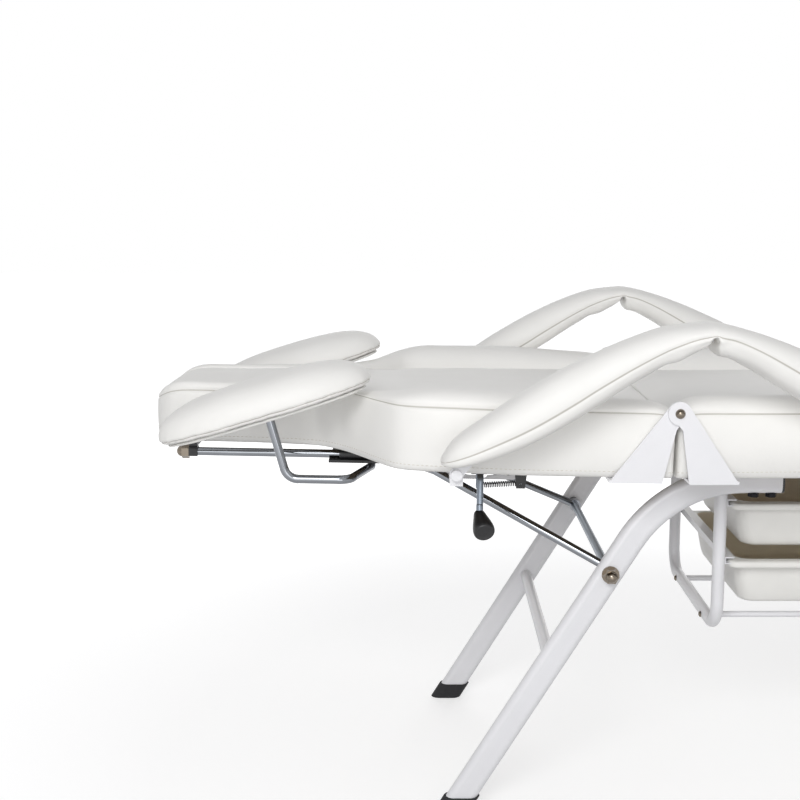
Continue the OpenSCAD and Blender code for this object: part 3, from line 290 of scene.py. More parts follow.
def rotary_cut_birch(colours):
    """Rotary cut birch plywood, unsealed: long soft figure, dull, with darker pores."""
    tree, place = new_material("rotary_cut_birch")
    along = add_node(tree, "ShaderNodeMapping", {"Vector": place, "Scale": (1.0, 12.0, 12.0)})
    figure = add_node(tree, "ShaderNodeTexNoise", {
        "Vector": along.outputs["Vector"], "Scale": per_metre(160), "Detail": 6.0})
    pores = add_node(tree, "ShaderNodeTexNoise", {
        "Vector": along.outputs["Vector"], "Scale": per_metre(18), "Detail": 3.0})
    dark = shade_of(colours.ply, 0.55)
    figured = add_node(tree, "ShaderNodeMix", {
        0: figure.outputs["Fac"], 6: shade_of(colours.ply, 1.15), 7: dark}, data_type="RGBA")
    share = add_node(tree, "ShaderNodeMapRange", {
        "Value": pores.outputs["Fac"], "From Min": 0.55, "From Max": 0.75, "To Max": 0.35})
    colour = add_node(tree, "ShaderNodeMix", {
        0: share.outputs["Result"], 6: figured.outputs[2], 7: dark}, data_type="RGBA")
    bump = add_node(tree, "ShaderNodeBump", {
        "Height": pores.outputs["Fac"], "Strength": 0.3, "Distance": 0.3 * MM})
    close_material(
        tree, Base_Color=colour.outputs[2], Roughness=0.7, IOR=1.45,
        Normal=bump.outputs["Normal"])


def make_materials(colours):
    """Make every finish, once."""
    if "embossed_vinyl" in bpy.data.materials:
        return
    embossed_vinyl(colours)
    powder_coated_steel(colours)
    # Plated: roughness between the smears and in them, and the width of a spangle
    plated_metal("chrome_plated_steel", colours.chrome, 0.04, 0.10, 40)
    plated_metal("zinc_plated_steel", colours.zinc, 0.28, 0.42, 5)
    plated_metal("nickel_plated_steel", colours.nickel, 0.05, 0.12, 12)
    # Blackened in hot oil, so it keeps a metal's sheen but hardly mirrors
    plated_metal("oiled_black_steel", shade_of(colours.black, 1.6), 0.3, 0.5, 8)
    # Moulded: roughness, and the width and depth of the mould's texture
    moulded_plastic("moulded_black_nylon", colours.black, 0.42, 1.5, 0.15)
    moulded_plastic("moulded_white_polypropylene", colours.tray, 0.36, 2.0, 0.08)
    # Painted shade: the same white plastic, tinted warm for the shaded inside of the tubs
    moulded_plastic("polypropylene_painted_warm_shade", colours.tray_inside_shade, 0.5, 2.0, 0.12)
    # Moulded rubber is dull and coarse, and so reads greyer than the nylon
    moulded_plastic("moulded_black_rubber", shade_of(colours.black, 1.3), 0.8, 1.2, 0.3)
    # Spun thread scatters light among its fibres, and has no gloss of its own
    moulded_plastic("spun_polyester_thread", colours.thread, 0.8, 0.6, 0.2)
    rotary_cut_birch(colours)


# ---------- mesh helpers ----------
def smooth_lookup(x, table):
    """Value at x on a smooth curve through the table's points, which rise in x."""
    xs, ys = zip(*table)
    if x <= xs[0]:
        return ys[0]
    if x >= xs[-1]:
        return ys[-1]
    i = max(k for k in range(len(xs) - 1) if xs[k] <= x)
    slopes = [(ys[k + 1] - ys[k]) / (xs[k + 1] - xs[k]) for k in range(len(xs) - 1)]

    def tangent(k):
        if k in (0, len(xs) - 1):
            return slopes[min(k, len(slopes) - 1)]
        before, after = slopes[k - 1], slopes[k]
        return 0 if before * after <= 0 else 2 * before * after / (before + after)

    width = xs[i + 1] - xs[i]
    t = (x - xs[i]) / width
    return (ys[i] * (1 + 2 * t) * (1 - t) ** 2 + tangent(i) * width * t * (1 - t) ** 2
            + ys[i + 1] * t * t * (3 - 2 * t) - tangent(i + 1) * width * t * t * (1 - t))


def mix(a, b, t):
    """Value between two, by a share."""
    return a + (b - a) * t


def ease(t):
    """Share that starts and ends gently, held between 0 and 1."""
    t = min(max(t, 0), 1)
    return t * t * (3 - 2 * t)


def signed_power(value, power):
    """Power that keeps the sign, which squares a circle's outline as it falls below 1."""
    return math.copysign(abs(value) ** power, value)


def mesh_object(name, points_mm, faces, place=Matrix.Identity(4)):
    """Object at the origin from points in millimetres, moved to its place in metres."""
    mesh = bpy.data.meshes.new(name)
    mesh.from_pydata([place @ Vector(p) for p in np.asarray(points_mm) * MM], [], faces)
    bm = bmesh.new()
    bm.from_mesh(mesh)
    bmesh.ops.recalc_face_normals(bm, faces=bm.faces)
    for face in bm.faces:
        face.smooth = True
    bm.to_mesh(mesh)
    bm.free()
    obj = bpy.data.objects.new(name, mesh)
    bpy.context.scene.collection.objects.link(obj)
    return obj


def ring_faces(rings, count):
    """Quads between rings that follow each other in one list of points."""
    return [(i * count + j, i * count + (j + 1) % count,
             (i + 1) * count + (j + 1) % count, (i + 1) * count + j)
            for i in range(rings - 1) for j in range(count)]


def closed_faces(rings, count):
    """Quads between rings, with the first and the last ring closed flat."""
    last = (rings - 1) * count
    return ring_faces(rings, count) + [tuple(range(count)), tuple(range(last, last + count))]


def vertex_values(mesh, key="co"):
    """Places of a mesh's vertices, or their normals, one row each."""
    values = np.empty(len(mesh.vertices) * 3)
    mesh.vertices.foreach_get(key, values)
    return values.reshape(-1, 3)


def set_coordinates(mesh, co):
    """Put a mesh's vertices at new places."""
    mesh.vertices.foreach_set("co", np.ascontiguousarray(co).ravel())
    mesh.update()


def push_out(obj, amount_mm):
    """Move each point of a mesh along its normal."""
    along = vertex_values(obj.data, "normal") * (amount_mm * MM)[:, None]
    set_coordinates(obj.data, vertex_values(obj.data) + along)


def mark_seam_shade(obj, shares):
    """Tell the vinyl how much painted shade each point of a cover gets in a seam or crease, from 0 to 1."""
    attributes = obj.data.attributes
    attribute = attributes.get(SEAM_SHADE) or attributes.new(SEAM_SHADE, "FLOAT", "POINT")
    known = np.zeros(len(obj.data.vertices), np.float32)
    attribute.data.foreach_get("value", known)
    attribute.data.foreach_set("value", np.maximum(known, shares).astype(np.float32))


def freeze(obj):
    """Apply every modifier of an object to its mesh."""
    graph = bpy.context.evaluated_depsgraph_get()
    mesh = bpy.data.meshes.new_from_object(obj.evaluated_get(graph), depsgraph=graph)
    obj.modifiers.clear()
    obj.data = mesh
    return obj


def inflate(obj, held, cap, pressure=4.0, steps=20):
    """Let air pressure swell a cover between the points where its seams hold it."""
    start = vertex_values(obj.data)
    group = obj.vertex_groups.new(name="held")
    group.add([int(i) for i in held], 1.0, "REPLACE")
    cloth = obj.modifiers.new("air", "CLOTH")
    cloth.settings.quality = 5
    cloth.settings.mass = 0.3
    cloth.settings.tension_stiffness = 20
    cloth.settings.compression_stiffness = 20
    cloth.settings.bending_stiffness = 0.8
    cloth.settings.vertex_group_mass = "held"
    cloth.settings.use_pressure = True
    cloth.settings.uniform_pressure_force = pressure
    cloth.settings.effector_weights.gravity = 0
    cloth.point_cache.frame_end = steps
    for frame_number in range(1, steps + 1):
        bpy.context.scene.frame_set(frame_number)
    graph = bpy.context.evaluated_depsgraph_get()
    moved = vertex_values(obj.evaluated_get(graph).data) - start
    obj.modifiers.remove(cloth)
    obj.vertex_groups.remove(group)
    bpy.context.scene.frame_set(1)
    length = np.linalg.norm(moved, axis=1, keepdims=True)
    set_coordinates(obj.data, start + moved * np.minimum(1, cap / np.maximum(length, 1e-9)))


def crumple(obj, depth_mm, wave_mm, seed, free=None):
    """Small hollows and swells of a stretched cover, as deep as its points are free."""
    shift = Vector((seed * 7.1, seed * 3.3, seed * 1.7))
    amount = np.array([noise.noise(Vector(p) / (wave_mm * MM) + shift)
                       for p in vertex_values(obj.data)])
    if free is not None:
        amount *= free
    push_out(obj, amount * depth_mm)


def press_seam(obj, points, depth_mm, share):
    """Sink a seam's points into the cover, and paint shade on them at a share of a seam's full shade."""
    sunk = np.zeros(len(obj.data.vertices))
    sunk[points] = 1
    push_out(obj, -depth_mm * sunk)
    mark_seam_shade(obj, share * sunk)


def finish_cover(obj):
    """Round a cover's mesh by one subdivision and keep the result."""
    modifier = obj.modifiers.new("rounding", "SUBSURF")
    modifier.levels = 1
    modifier.render_levels = 1
    return freeze(obj)


def dress(obj, material, body):
    """Give a piece its finish in a material slot, and its body."""
    obj.data.materials.clear()
    obj.data.materials.append(bpy.data.materials[material])
    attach(obj, body)
    return obj


def evenly(path, pitch):
    """Points along a polyline at an even pitch, with the direction at each."""
    path = np.asarray(path)
    steps = np.linalg.norm(np.diff(path, axis=0), axis=1)
    travel = np.concatenate([[0], np.cumsum(steps)])
    marks = np.arange(pitch / 2, travel[-1], pitch)

    def at(marks):
        return np.stack([np.interp(marks, travel, path[:, k]) for k in range(3)], axis=1)

    return at(marks), at(marks + pitch / 4) - at(marks - pitch / 4)


# Rings of a stitch: place along it as a share of its length, and thickness as a share of full
STITCH_RINGS = ((-0.5, 0.25), (-0.3, 1.0), (0.3, 1.0), (0.5, 0.25))
STITCH_SIDES = 6
STITCH_LENGTH = 0.62  # as a share of the pitch
THREAD_RADIUS = 0.45


def stitches(name, cover, paths, pitch, body):
    """Rows of thread stitches that lie on a cover along the paths."""
    tree = BVHTree.FromPolygons(
        [v.co for v in cover.data.vertices], [p.vertices for p in cover.data.polygons])
    points, faces = [], []
    for path in paths:
        for middle, direction in zip(*evenly(path, pitch)):
            at, normal, _, _ = tree.find_nearest(Vector(middle))
            along = Vector(direction).normalized()
            side = normal.cross(along).normalized()
            first = len(points)
            for share, thick in STITCH_RINGS:
                centre = at + along * share * pitch * STITCH_LENGTH
                for k in range(STITCH_SIDES):
                    turn = 2 * math.pi * k / STITCH_SIDES
                    points.append(centre + THREAD_RADIUS * MM * thick * (
                        side * math.cos(turn) + normal * math.sin(turn)))
            faces += [tuple(first + i for i in face)
                      for face in closed_faces(len(STITCH_RINGS), STITCH_SIDES)]
    obj = mesh_object(name, np.array([p[:] for p in points]) / MM, faces)
    dress(obj, "spun_polyester_thread", body)


# ---------- cushions ----------
# A section is a ring of TOP points below and above and SIDE points at either side
BOLSTER_TURNS = (6, 16, 28, 42, 56, 70, 84, 98, 112, 126, 140, 154, 166, 175)
PANEL_SHARES = (0.82, 0.62, 0.42, 0.2, 0.0)
WALL_SHARES = (0.0, 0.18, 0.38, 0.58, 0.78, 1.0)
HALF_TOP = 1 + len(BOLSTER_TURNS) + 3 + len(PANEL_SHARES)
TOP = 2 * (HALF_TOP - 1)
SIDE = 4 + len(WALL_SHARES)
RING = 2 * (TOP + SIDE)
HEM_ROW = 3  # from the section's lower corner
VALLEY_ROW = len(BOLSTER_TURNS) + 1  # from the seam
BOARD_T = 15
SIDE_BULGE = 1.6
CORNER_INSET = 7


def side_wall(s):
    """Side of a section, from its lower corner up to just below the seam."""
    w, base = s["w"], s["base"]
    rise = s["seam"] - base - 14
    corner = [(w - CORNER_INSET, base), (w - 2.6, base + 1.6), (w - 0.6, base + 5)]
    wall = [(w + 0.3 + SIDE_BULGE * math.sin(math.pi * t), base + 9 + rise * t)
            for t in WALL_SHARES]
    return corner + wall + [(w - 0.9, s["seam"] - 1.6)]


def top_half(s):
    """Top of a section, from the seam over the bolster to the middle of the panel."""
    w, b = s["w"], s["b"]
    dip = 1 - 0.7 * s["narrow"]
    bolster = []
    for turn in BOLSTER_TURNS:
        a = math.radians(turn)
        low = s["seam"] + 1 if turn < 90 else s["panel"] - 4 * dip
        bolster.append((w - b / 2 - 1 + (b / 2 - 1.5) * math.cos(a),
                        low + (s["crest"] - low) * math.sin(a) ** 0.75))
    inner = w - b
    panel = [(inner * t, s["panel"] + 3.5 * (1 - t * t)) for t in PANEL_SHARES]
    return ([(w - 2.2, s["seam"])] + bolster
            + [(inner - 1, s["panel"] - 5 * dip), (inner - 4, s["panel"] - 3.2 * dip),
               (inner - 12, s["panel"] - 0.6 * dip)] + panel)


def bottom_half(s):
    """Underside of a section, from its lower corner to the middle, with the board's recess."""
    deep = s["base"] + (BOARD_T + 1 if s["board"] else 0)
    edge = s["w"] - 12.6
    inner = [(edge - 0.4 - (edge - 0.4) * t / (HALF_TOP - 3), deep) for t in range(HALF_TOP - 2)]
    return [(s["w"] - CORNER_INSET, s["base"]), (edge, s["base"])] + inner


def section_ring(s):
    """Closed section as bottom, right side, top and left side."""
    under, side, top = bottom_half(s), side_wall(s), top_half(s)
    bottom = [(-y, z) for y, z in under] + under[-2::-1]
    over = top + [(-y, z) for y, z in top[-2::-1]]
    left = [(-y, z) for y, z in side]
    return [(s["x"], y, z) for y, z in bottom[:-1] + side + over + left[:0:-1]]


def cap_grid(ring, first, bulge):
    """Inner points and faces that close an end's section, bulged along x.

    The grid is stretched between the section's four sides. first holds the numbers that the
    section's first point and the grid's first inner point have in the mesh.
    """
    ring = np.array(ring)
    bottom = ring[:TOP + 1]
    right = ring[TOP:TOP + SIDE + 1]
    top = ring[TOP + SIDE:2 * TOP + SIDE + 1][::-1]
    left = np.vstack([ring[2 * TOP + SIDE:], ring[:1]])[::-1]
    reach = abs(ring[:, 1]).max()
    points = []
    index = {}
    for i in range(TOP + 1):
        for j in range(SIDE + 1):
            if j == 0:
                index[i, j] = i
            elif j == SIDE:
                index[i, j] = 2 * TOP + SIDE - i
            elif i == 0:
                index[i, j] = RING - j
            elif i == TOP:
                index[i, j] = TOP + j
            else:
                u, v = i / TOP, j / SIDE
                p = ((1 - v) * bottom[i] + v * top[i] + (1 - u) * left[j] + u * right[j]
                     - (1 - u) * (1 - v) * bottom[0] - u * (1 - v) * bottom[-1]
                     - (1 - u) * v * top[0] - u * v * top[-1])
                p[0] += bulge * (1 - min(1, abs(p[1]) / reach) ** 2) * (1 - (2 * v - 1) ** 2)
                index[i, j] = ("inner", len(points))
                points.append(p)
    faces = [tuple(index[k] for k in ((i, j), (i + 1, j), (i + 1, j + 1), (i, j + 1)))
             for i in range(TOP) for j in range(SIDE)]
    return points, [tuple(first[0] + k if isinstance(k, int) else first[1] + k[1] for k in face)
                    for face in faces]


SEAM_DEPTH = 1.8
END_SEAM_DEPTH = 1.4
HEAD_VALLEY_DEPTH = 1.0
VALLEY_DEPTH = 0.4


def build_cushion(name, stations, bulges, place, sizes, seed, body, node, free_end=True):
    """A foam cushion in a sewn cover: rolled edges, a sunk panel, seams and a stitched hem."""
    rings = [section_ring(s) for s in stations]
    points = [p for ring in rings for p in ring]
    faces = ring_faces(len(rings), RING)
    last = (len(rings) - 1) * RING
    for ring, first, bulge in ((rings[0], 0, bulges[0]), (rings[-1], last, bulges[1])):
        inner, closing = cap_grid(ring, (first, len(points)), bulge)
        points += inner
        faces += closing
    obj = mesh_object(f"{name}_upholstery", points, faces, place)

    def rows(*offsets):
        return np.array([i * RING + o % RING for i in range(len(rings)) for o in offsets])

    seam_r, seam_l = TOP + SIDE, 2 * TOP + SIDE
    valley = (TOP + SIDE + VALLEY_ROW, 2 * TOP + SIDE - VALLEY_ROW)
    hem = (TOP + HEM_ROW, RING - HEM_ROW)
    under = range(0, TOP + 1)
    ends = np.concatenate([np.arange(RING), np.arange(RING) + last])
    held = np.concatenate([rows(seam_r, seam_l, *valley, *under), ends])
    inflate(obj, np.unique(held), sizes.swell)
    free = np.ones(len(obj.data.vertices))
    free[rows(*under, *hem)] = 0
    crumple(obj, depth_mm=1.3, wave_mm=95, seed=seed, free=free)
    crumple(obj, depth_mm=0.45, wave_mm=24, seed=seed + 5, free=free)
    # The seams and the head's valleys sink and get painted shade; the other valleys only sink
    press_seam(obj, rows(seam_r, seam_l), SEAM_DEPTH, share=0.9)
    if free_end:  # the side seams meet round the end that shows
        press_seam(obj, last + np.arange(seam_r + 1, seam_l), END_SEAM_DEPTH, share=0.9)
    narrow = [i * RING + row for i, s in enumerate(stations[:-3]) for row in valley
              if s["narrow"] > 0.5]
    if narrow:
        press_seam(obj, np.array(narrow), HEAD_VALLEY_DEPTH, share=0.8)
    press_seam(obj, rows(*valley)[:-6], VALLEY_DEPTH, share=0.0)
    co = vertex_values(obj.data)
    hem_paths = [co[[i * RING + h for i in range(len(rings))]] for h in hem]
    finish_cover(obj)
    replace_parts(dress(obj, "embossed_vinyl", body), node)
    stitches(f"{name}_hem_stitching", obj, hem_paths, sizes.stitch_pitch, body)


def section_sizes(sizes):
    """Half width, bolster and base of the cushions, in millimetres."""
    return sizes.cushion_w / MM / 2, sizes.bolster_w / MM, -sizes.cushion_t / MM


END_GAP = 1.5  # half of the gap between two cushions
END_ROUND = 34  # length over which a cushion's top rounds down to its hinge end
CORNER_R = 5.5
HEAD_ROUND = 62  # length over which the head end rounds
HEAD_BOARD = 30  # from the board's end to the cushion's
FOOT_ROUND = 50  # radius of the leg rest's corners
# Distances of the first sections from a hinge end, and of the last from a free end
END_STEPS = (0, 1.2, 3.2, 4.2, 4.7, 8, 13, 19, 26, 35)
LEG_STEPS = (0, 1.2, 3.2, 4.2, 4.7, 8.4, 8.9, 13, 19, 26, 35, 46)
HEAD_STEPS = (60, 51, 43, 36, 29.6, 27.2, 26.6, 22, 17, 12.5, 8.5, 5, 2.4, 0.8, 0)
FOOT_STEPS = (60, 51, 43, 36, 29, 22, 17, 14.6, 14, 8.5, 5, 2.4, 0.8, 0)
# Distance from the back's hinge, with the share of the way from full to head width and with
# the bolster's height over the hinge
BACK_TAPER = [(0, 0), (150, 0), (225, 0.02), (303, 0.066), (329, 0.086), (355, 0.136),
              (382, 0.308), (411, 0.545), (441, 0.758), (478, 0.904), (573, 0.96), (661, 0.98),
              (715, 1)]
BACK_CREST = [(0, 9), (60, 12), (175, 17), (313, 20), (375, 10), (410, 2), (475, 1), (715, 1)]


def end_curve(distance):
    """Share of its height that a cushion has at a distance from its hinge end."""
    return math.sqrt(max(0, 1 - (1 - min(distance / END_ROUND, 1)) ** 2))


def corner_cut(distance):
    """How far a cushion's side draws in near its end, where its upright corner is rounded."""
    return CORNER_R * (1 - math.sqrt(max(0, 1 - (1 - min(distance / CORNER_R, 1)) ** 2)))


def into_round(u, length, radius):
    """Share of the way into the rounding of a free end."""
    return min(max((u - (length - radius)) / radius, 0), 1)


def seat_stations(sizes, length):
    """Sections of the seat cushion, from the back's hinge to the leg rest's."""
    half, bolster, base = section_sizes(sizes)
    full = length - 2 * END_GAP
    stations = []
    for d in [*END_STEPS, *np.linspace(46, full - 46, 46), *(full - n for n in END_STEPS[::-1])]:
        edge = min(d, full - d)
        k = end_curve(edge)
        stations.append({
            "x": END_GAP + d, "w": half - corner_cut(edge), "b": bolster,
            "crest": mix(-7, 15.5, k), "seam": -3 - 8 * (1 - k), "panel": mix(-20, -11.5, k),
            "base": base, "board": edge > 4.5, "narrow": 0})
    return stations


def back_stations(sizes, length):
    """Sections of the back cushion, from its hinge to the head end, where the bolsters fade."""
    half, bolster, base = section_sizes(sizes)
    head = sizes.head_w / MM / 2
    stations = []
    for d in [*END_STEPS, 46, *np.linspace(56, 290, 24), *np.linspace(299, 480, 26),
              *np.linspace(489, length - 72, 18), *(length - END_GAP - n for n in HEAD_STEPS)]:
        u = END_GAP + d
        e = into_round(u, length, HEAD_ROUND)
        rounding = math.sqrt(max(0, 1 - e ** 2.4))
        full = mix(half, head, smooth_lookup(u, BACK_TAPER))
        k = end_curve(d)
        drop = 20 * e ** 2.6
        wide = ease((full - 120) / 160)
        seam = mix(-3, -13, ease((u - 470) / 150)) - 8 * (1 - k) - drop
        crest = mix(-7, smooth_lookup(u, BACK_CREST) - 1.5, k) - drop
        panel = mix(-20, mix(-4.5, -12.5, wide), k) - drop
        melt = e ** 4  # at the very end the top comes down to the seam that closes it
        stations.append({
            "x": -u, "w": mix(full * 0.42, full, rounding) - corner_cut(d),
            "b": mix(20, bolster, wide) * mix(0.7, 1, rounding),
            "crest": mix(crest, seam + 1.5, melt), "seam": seam,
            "panel": mix(panel, seam + 2, melt), "narrow": 1 - wide,
            "base": base + 5 * e ** 3,
            "board": 4.5 < d and u < length - HEAD_BOARD + 0.6})
    return stations


def leg_stations(sizes, length):
    """Sections of the leg cushion, from its hinge at the underside to its free end."""
    half, bolster, _ = section_sizes(sizes)
    top = sizes.cushion_t / MM - 2
    stations = []
    for d in [*LEG_STEPS, *np.linspace(56, length - 72, 48),
              *(length - END_GAP - n for n in FOOT_STEPS)]:
        u = END_GAP + d
        e = into_round(u, length, FOOT_ROUND)
        rounding = math.sqrt(max(0, 1 - e ** 2.2))
        full = mix(half, half - 14, ease(u / length))
        k = end_curve(d)
        drop = 16 * e ** 3
        crest = mix(-8, 13.5, ease((length - u) / 90))
        stations.append({
            "x": u, "w": mix(full - FOOT_ROUND, full, rounding) - corner_cut(d),
            "b": bolster * mix(0.7, 1, rounding), "crest": mix(-7, crest, k) + top - drop,
            "seam": top - 3 - 8 * (1 - k) - drop, "panel": mix(-20, -11.5, k) + top - drop,
            "base": -2 + 5 * e ** 3, "board": 8.6 < d and u < length - 17.5, "narrow": 0})
    return stations


# ---------- arms ----------
SIDES = (("r", -1), ("l", 1))
ELBOW_X = 26  # from the back's hinge
ARM_HALF = 329  # from the elbow to either tip, along the chair
ARM_LINE = 0.345  # from the chair's middle to an arm's, in metres
ELBOW_BEND = 14  # half of the length over which a cover bends
# Distances run from the elbow to the tip. Crest and seam are heights over the hinge, the band
# is how far the cover reaches below the seam, and the sag is what the front's crest lacks
ARM_CREST = [(0, 119.5), (46, 115), (97, 99.5), (169, 66.5), (226, 33), (284, -6), (313, -27),
             (329, -50)]
ARM_SEAM = {
    "rear": [(0, 105.5), (24, 101), (46, 93), (82, 75), (138, 42), (169, 22), (226, -11), (284, -37),
             (311, -48), (329, -55)],
    "front": [(0, 105.5), (24, 100), (46, 91), (89, 68), (138, 38), (169, 18), (226, -13),
              (284, -37), (311, -48), (329, -55)],
}
ARM_BAND = {
    "rear": [(0, 2), (4, 4.5), (7, 11), (12, 14), (24, 18.5), (42, 22.5), (60, 18), (82, 19), (110, 21),
             (138, 23), (196, 23), (254, 20.5), (311, 12), (329, 2.5)],
    "front": [(0, 2), (2.5, 4), (4.5, 18), (7, 23), (12, 25.5), (29, 25), (56, 26), (90, 28.5),
              (138, 27), (196, 24.5), (254, 20.5), (311, 12), (329, 2.5)],
}
FRONT_SAG = [(0, 0), (20, 1.5), (60, 6.5), (110, 7.5), (200, 3), (270, 0)]
ARM_TURNS = (0, 4, 11, 22, 34, 46, 58, 70, 80, 90, 100, 110, 122, 134, 146, 158, 169, 176,
             180, 184, 191, 202, 216, 232, 250, 270, 290, 308, 324, 338, 349, 356)
ARM_TIP = 60  # length over which an arm widens from its tip
# Distances of an arm's first sections from the elbow, and of its last ones from the tip
ARM_NEAR = (0, 1.2, 2.5, 3.4, 4.5, 5.6, 7, 9, 12, 16)
ARM_FAR = (46, 36, 26, 17, 10, 5, 1.5, 0)
# The slit under the elbow, and the folds that fan out from it
SLIT_TOP = 103
SLIT_HALF = 9
FOLD_REACH = 32
FOLD_DEPTH = 1.7
FOLDS_PER_TURN = 15


def arm_ring(part, distance, width):
    """Section of an arm's cover at a distance from the elbow."""
    e = min((ARM_HALF - distance) / ARM_TIP, 1)
    half = width / 2 * math.sqrt(max(0, 1 - (1 - e) ** 2.2)) + 1.5
    top = smooth_lookup(distance, ARM_CREST)
    if part == "front":
        top -= smooth_lookup(distance, FRONT_SAG)
    seam = smooth_lookup(distance, ARM_SEAM[part])
    below = smooth_lookup(distance, ARM_BAND[part])
    ring = []
    for turn in ARM_TURNS:
        c, s = math.cos(math.radians(turn)), math.sin(math.radians(turn))
        height, fullness, crown = (top - seam, 0.75, 0.8) if turn <= 180 else (below, 0.5, 0.7)
        ring.append((half * signed_power(c, fullness), seam + height * signed_power(s, crown)))
    return ring


def build_arm(name, side, sizes, hinge, seed):
    """One padded cover over the whole arm, sewn along both sides and slit under the elbow."""
    low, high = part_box("arm_rear_l")
    width = (high.y - low.y) / MM - 4
    out = (low.y + high.y) / 2
    distances = [*ARM_NEAR, *np.linspace(21, ARM_HALF - 56, 34),
                 *(ARM_HALF - d for d in ARM_FAR)]
    both = [(ELBOW_X - d, arm_ring("rear", d, width)) for d in reversed(distances)]
    both += [(ELBOW_X + d, arm_ring("front", d, width)) for d in distances[1:]]
    count = len(ARM_TURNS)
    points = [(x, side * y, z) for x, ring in both for y, z in ring]
    faces = ring_faces(len(both), count)
    for number in (0, len(both) - 1):
        centre = np.mean(points[number * count:(number + 1) * count], axis=0)
        points.append(tuple(centre))
        faces += [(number * count + j, number * count + (j + 1) % count, len(points) - 1)
                  for j in range(count)]
    place = Matrix.Translation(hinge + Vector((0, side * out, 0)))
    obj = mesh_object(name, points, faces, place)
    seam = np.array([i * count + o for i in range(len(both)) for o in (0, ARM_TURNS.index(180))])
    tips = np.concatenate([np.arange(3 * count), np.arange((len(both) - 3) * count, len(points))])
    co = vertex_values(obj.data)
    slit = np.where((abs(co[:, 0] - hinge.x - ELBOW_X * MM) < SLIT_HALF * MM)
                    & (co[:, 2] < hinge.z + (SLIT_TOP + 1) * MM))[0]
    held = np.unique(np.concatenate([seam, tips, slit]))
    inflate(obj, held, cap=sizes.swell * 0.7, pressure=3.0)
    gather(obj, hinge)
    crumple(obj, depth_mm=0.9, wave_mm=70, seed=seed)
    press_seam(obj, seam, depth_mm=1.3, share=0.9)
    return finish_cover(obj)


def gather(obj, hinge):
    """Folds of the lower panel that fan out from the slit under the elbow, with painted shade in its depth.
    """
    local = (vertex_values(obj.data) - np.array(hinge)) / MM
    dx, dz = local[:, 0] - ELBOW_X, local[:, 2] - SLIT_TOP
    reach = np.hypot(dx, dz)
    fan = np.arctan2(dz, np.abs(dx) + 1e-6)
    strength = np.exp(-(reach / FOLD_REACH) ** 2) * (dz < 0) * np.clip(reach / SLIT_HALF, 0, 1)
    push_out(obj, strength * FOLD_DEPTH * np.sin(fan * FOLDS_PER_TURN + np.sign(dx) * 0.8))
    # Painted shade in the slit, full within 2 mm of its middle, and gone 6 mm from it
    mark_seam_shade(obj, np.clip(1.4 - np.abs(dx) / 4.5, 0, 1) * (dz < -1.5))


# ---------- forearm pads ----------
PAD_TURNS = 72
PAD_DOME = (0.0, 0.06, 0.16, 0.28, 0.4, 0.52, 0.64, 0.75, 0.85, 0.92, 0.97)
# Rows of a pad below its dome: share of the outline, and height
PAD_RIM = ((0.90, 0.3), (0.955, 0.9), (0.985, 2.0), (0.996, 3.6), (1.0, 5.5))
PAD_SEAM = 5  # height of the seam over the pad's underside
PAD_CELL = 4.5
PAD_PLACE = (-0.536, -0.028)  # middle of a pad's underside, along and over the back, in metres
# The covered board under a pad: how much shorter and narrower it is, its thickness, and how far
# its underside lies below the pad's
BASE_SHORTER, BASE_NARROWER, BASE_T, BASE_DROP = 21, 29, 5, 5.3
# Rows of the board from the middle of its underside to that of its top: share of the outline,
# and height
BASE_ROWS = ((0.0, 0.2), (0.5, 0.2), (0.9, 0.25), (0.965, 0.6), (0.995, 1.7), (1.0, 2.8),
             (0.985, 4.2), (0.94, BASE_T), (0.5, BASE_T), (0.0, BASE_T))
BASE_TURNS = 144
PUCKERS = 57  # round a board's edge


def oval_point(turn, length, width):
    """Point of a pad's outline, which is fuller than an ellipse."""
    c, s = math.cos(turn), math.sin(turn)
    return length / 2 * signed_power(c, 0.82), width / 2 * signed_power(s, 0.84)


def build_forearm_pad(name, place, sizes, length, width, thick, seed):
    """A domed oval pad: a high crowned top sewn to a shallow rim that tucks under."""
    rows = [*PAD_RIM]
    rows += [(math.cos(share * math.pi / 2) ** 0.62 * 0.998,
              6.5 + (thick - 8.5) * math.sin(share * math.pi / 2) ** 0.92) for share in PAD_DOME]
    turns = [2 * math.pi * k / PAD_TURNS for k in range(PAD_TURNS)]
    points = [(*(scale * v for v in oval_point(t, length, width - 2)), z)
              for scale, z in rows for t in turns]
    obj = mesh_object(name, points, closed_faces(len(rows), PAD_TURNS))
    remesh = obj.modifiers.new("even_cells", "REMESH")
    remesh.mode = "VOXEL"
    remesh.voxel_size = PAD_CELL * MM
    freeze(obj)
    held = np.where(vertex_values(obj.data)[:, 2] < (PAD_SEAM + 1) * MM)[0]
    inflate(obj, held, cap=sizes.swell * 0.6)
    smooth = obj.modifiers.new("relax", "SMOOTH")
    smooth.factor = 0.5
    smooth.iterations = 4
    freeze(obj)
    finish_cover(obj)
    sew_rim(obj, length, width)
    crumple(obj, depth_mm=1.1, wave_mm=60, seed=seed)
    obj.data.transform(place)
    for polygon in obj.data.polygons:
        polygon.use_smooth = True
    return obj


def sew_rim(obj, length, width):
    """Seam round a pad with small puckers above and below it, and painted shade along it."""
    co = vertex_values(obj.data)
    turn = np.arctan2(co[:, 1] / width, co[:, 0] / length)
    height = (co[:, 2] - PAD_SEAM * MM) / MM
    edge = np.hypot(co[:, 0] / (length * MM / 2), co[:, 1] / (width * MM / 2)) > 0.8
    groove = -2.0 * np.exp(-(height / 1.5) ** 2) * edge
    pucker = np.array([noise.noise(Vector((t * 14, 3.1, 0.7))) for t in turn])
    puckers = 1.3 * pucker * np.exp(-(np.abs(height) / 5.5)) * edge
    push_out(obj, groove + puckers)
    mark_seam_shade(obj, np.exp(-(height / 1.3) ** 2) * edge * 0.9)


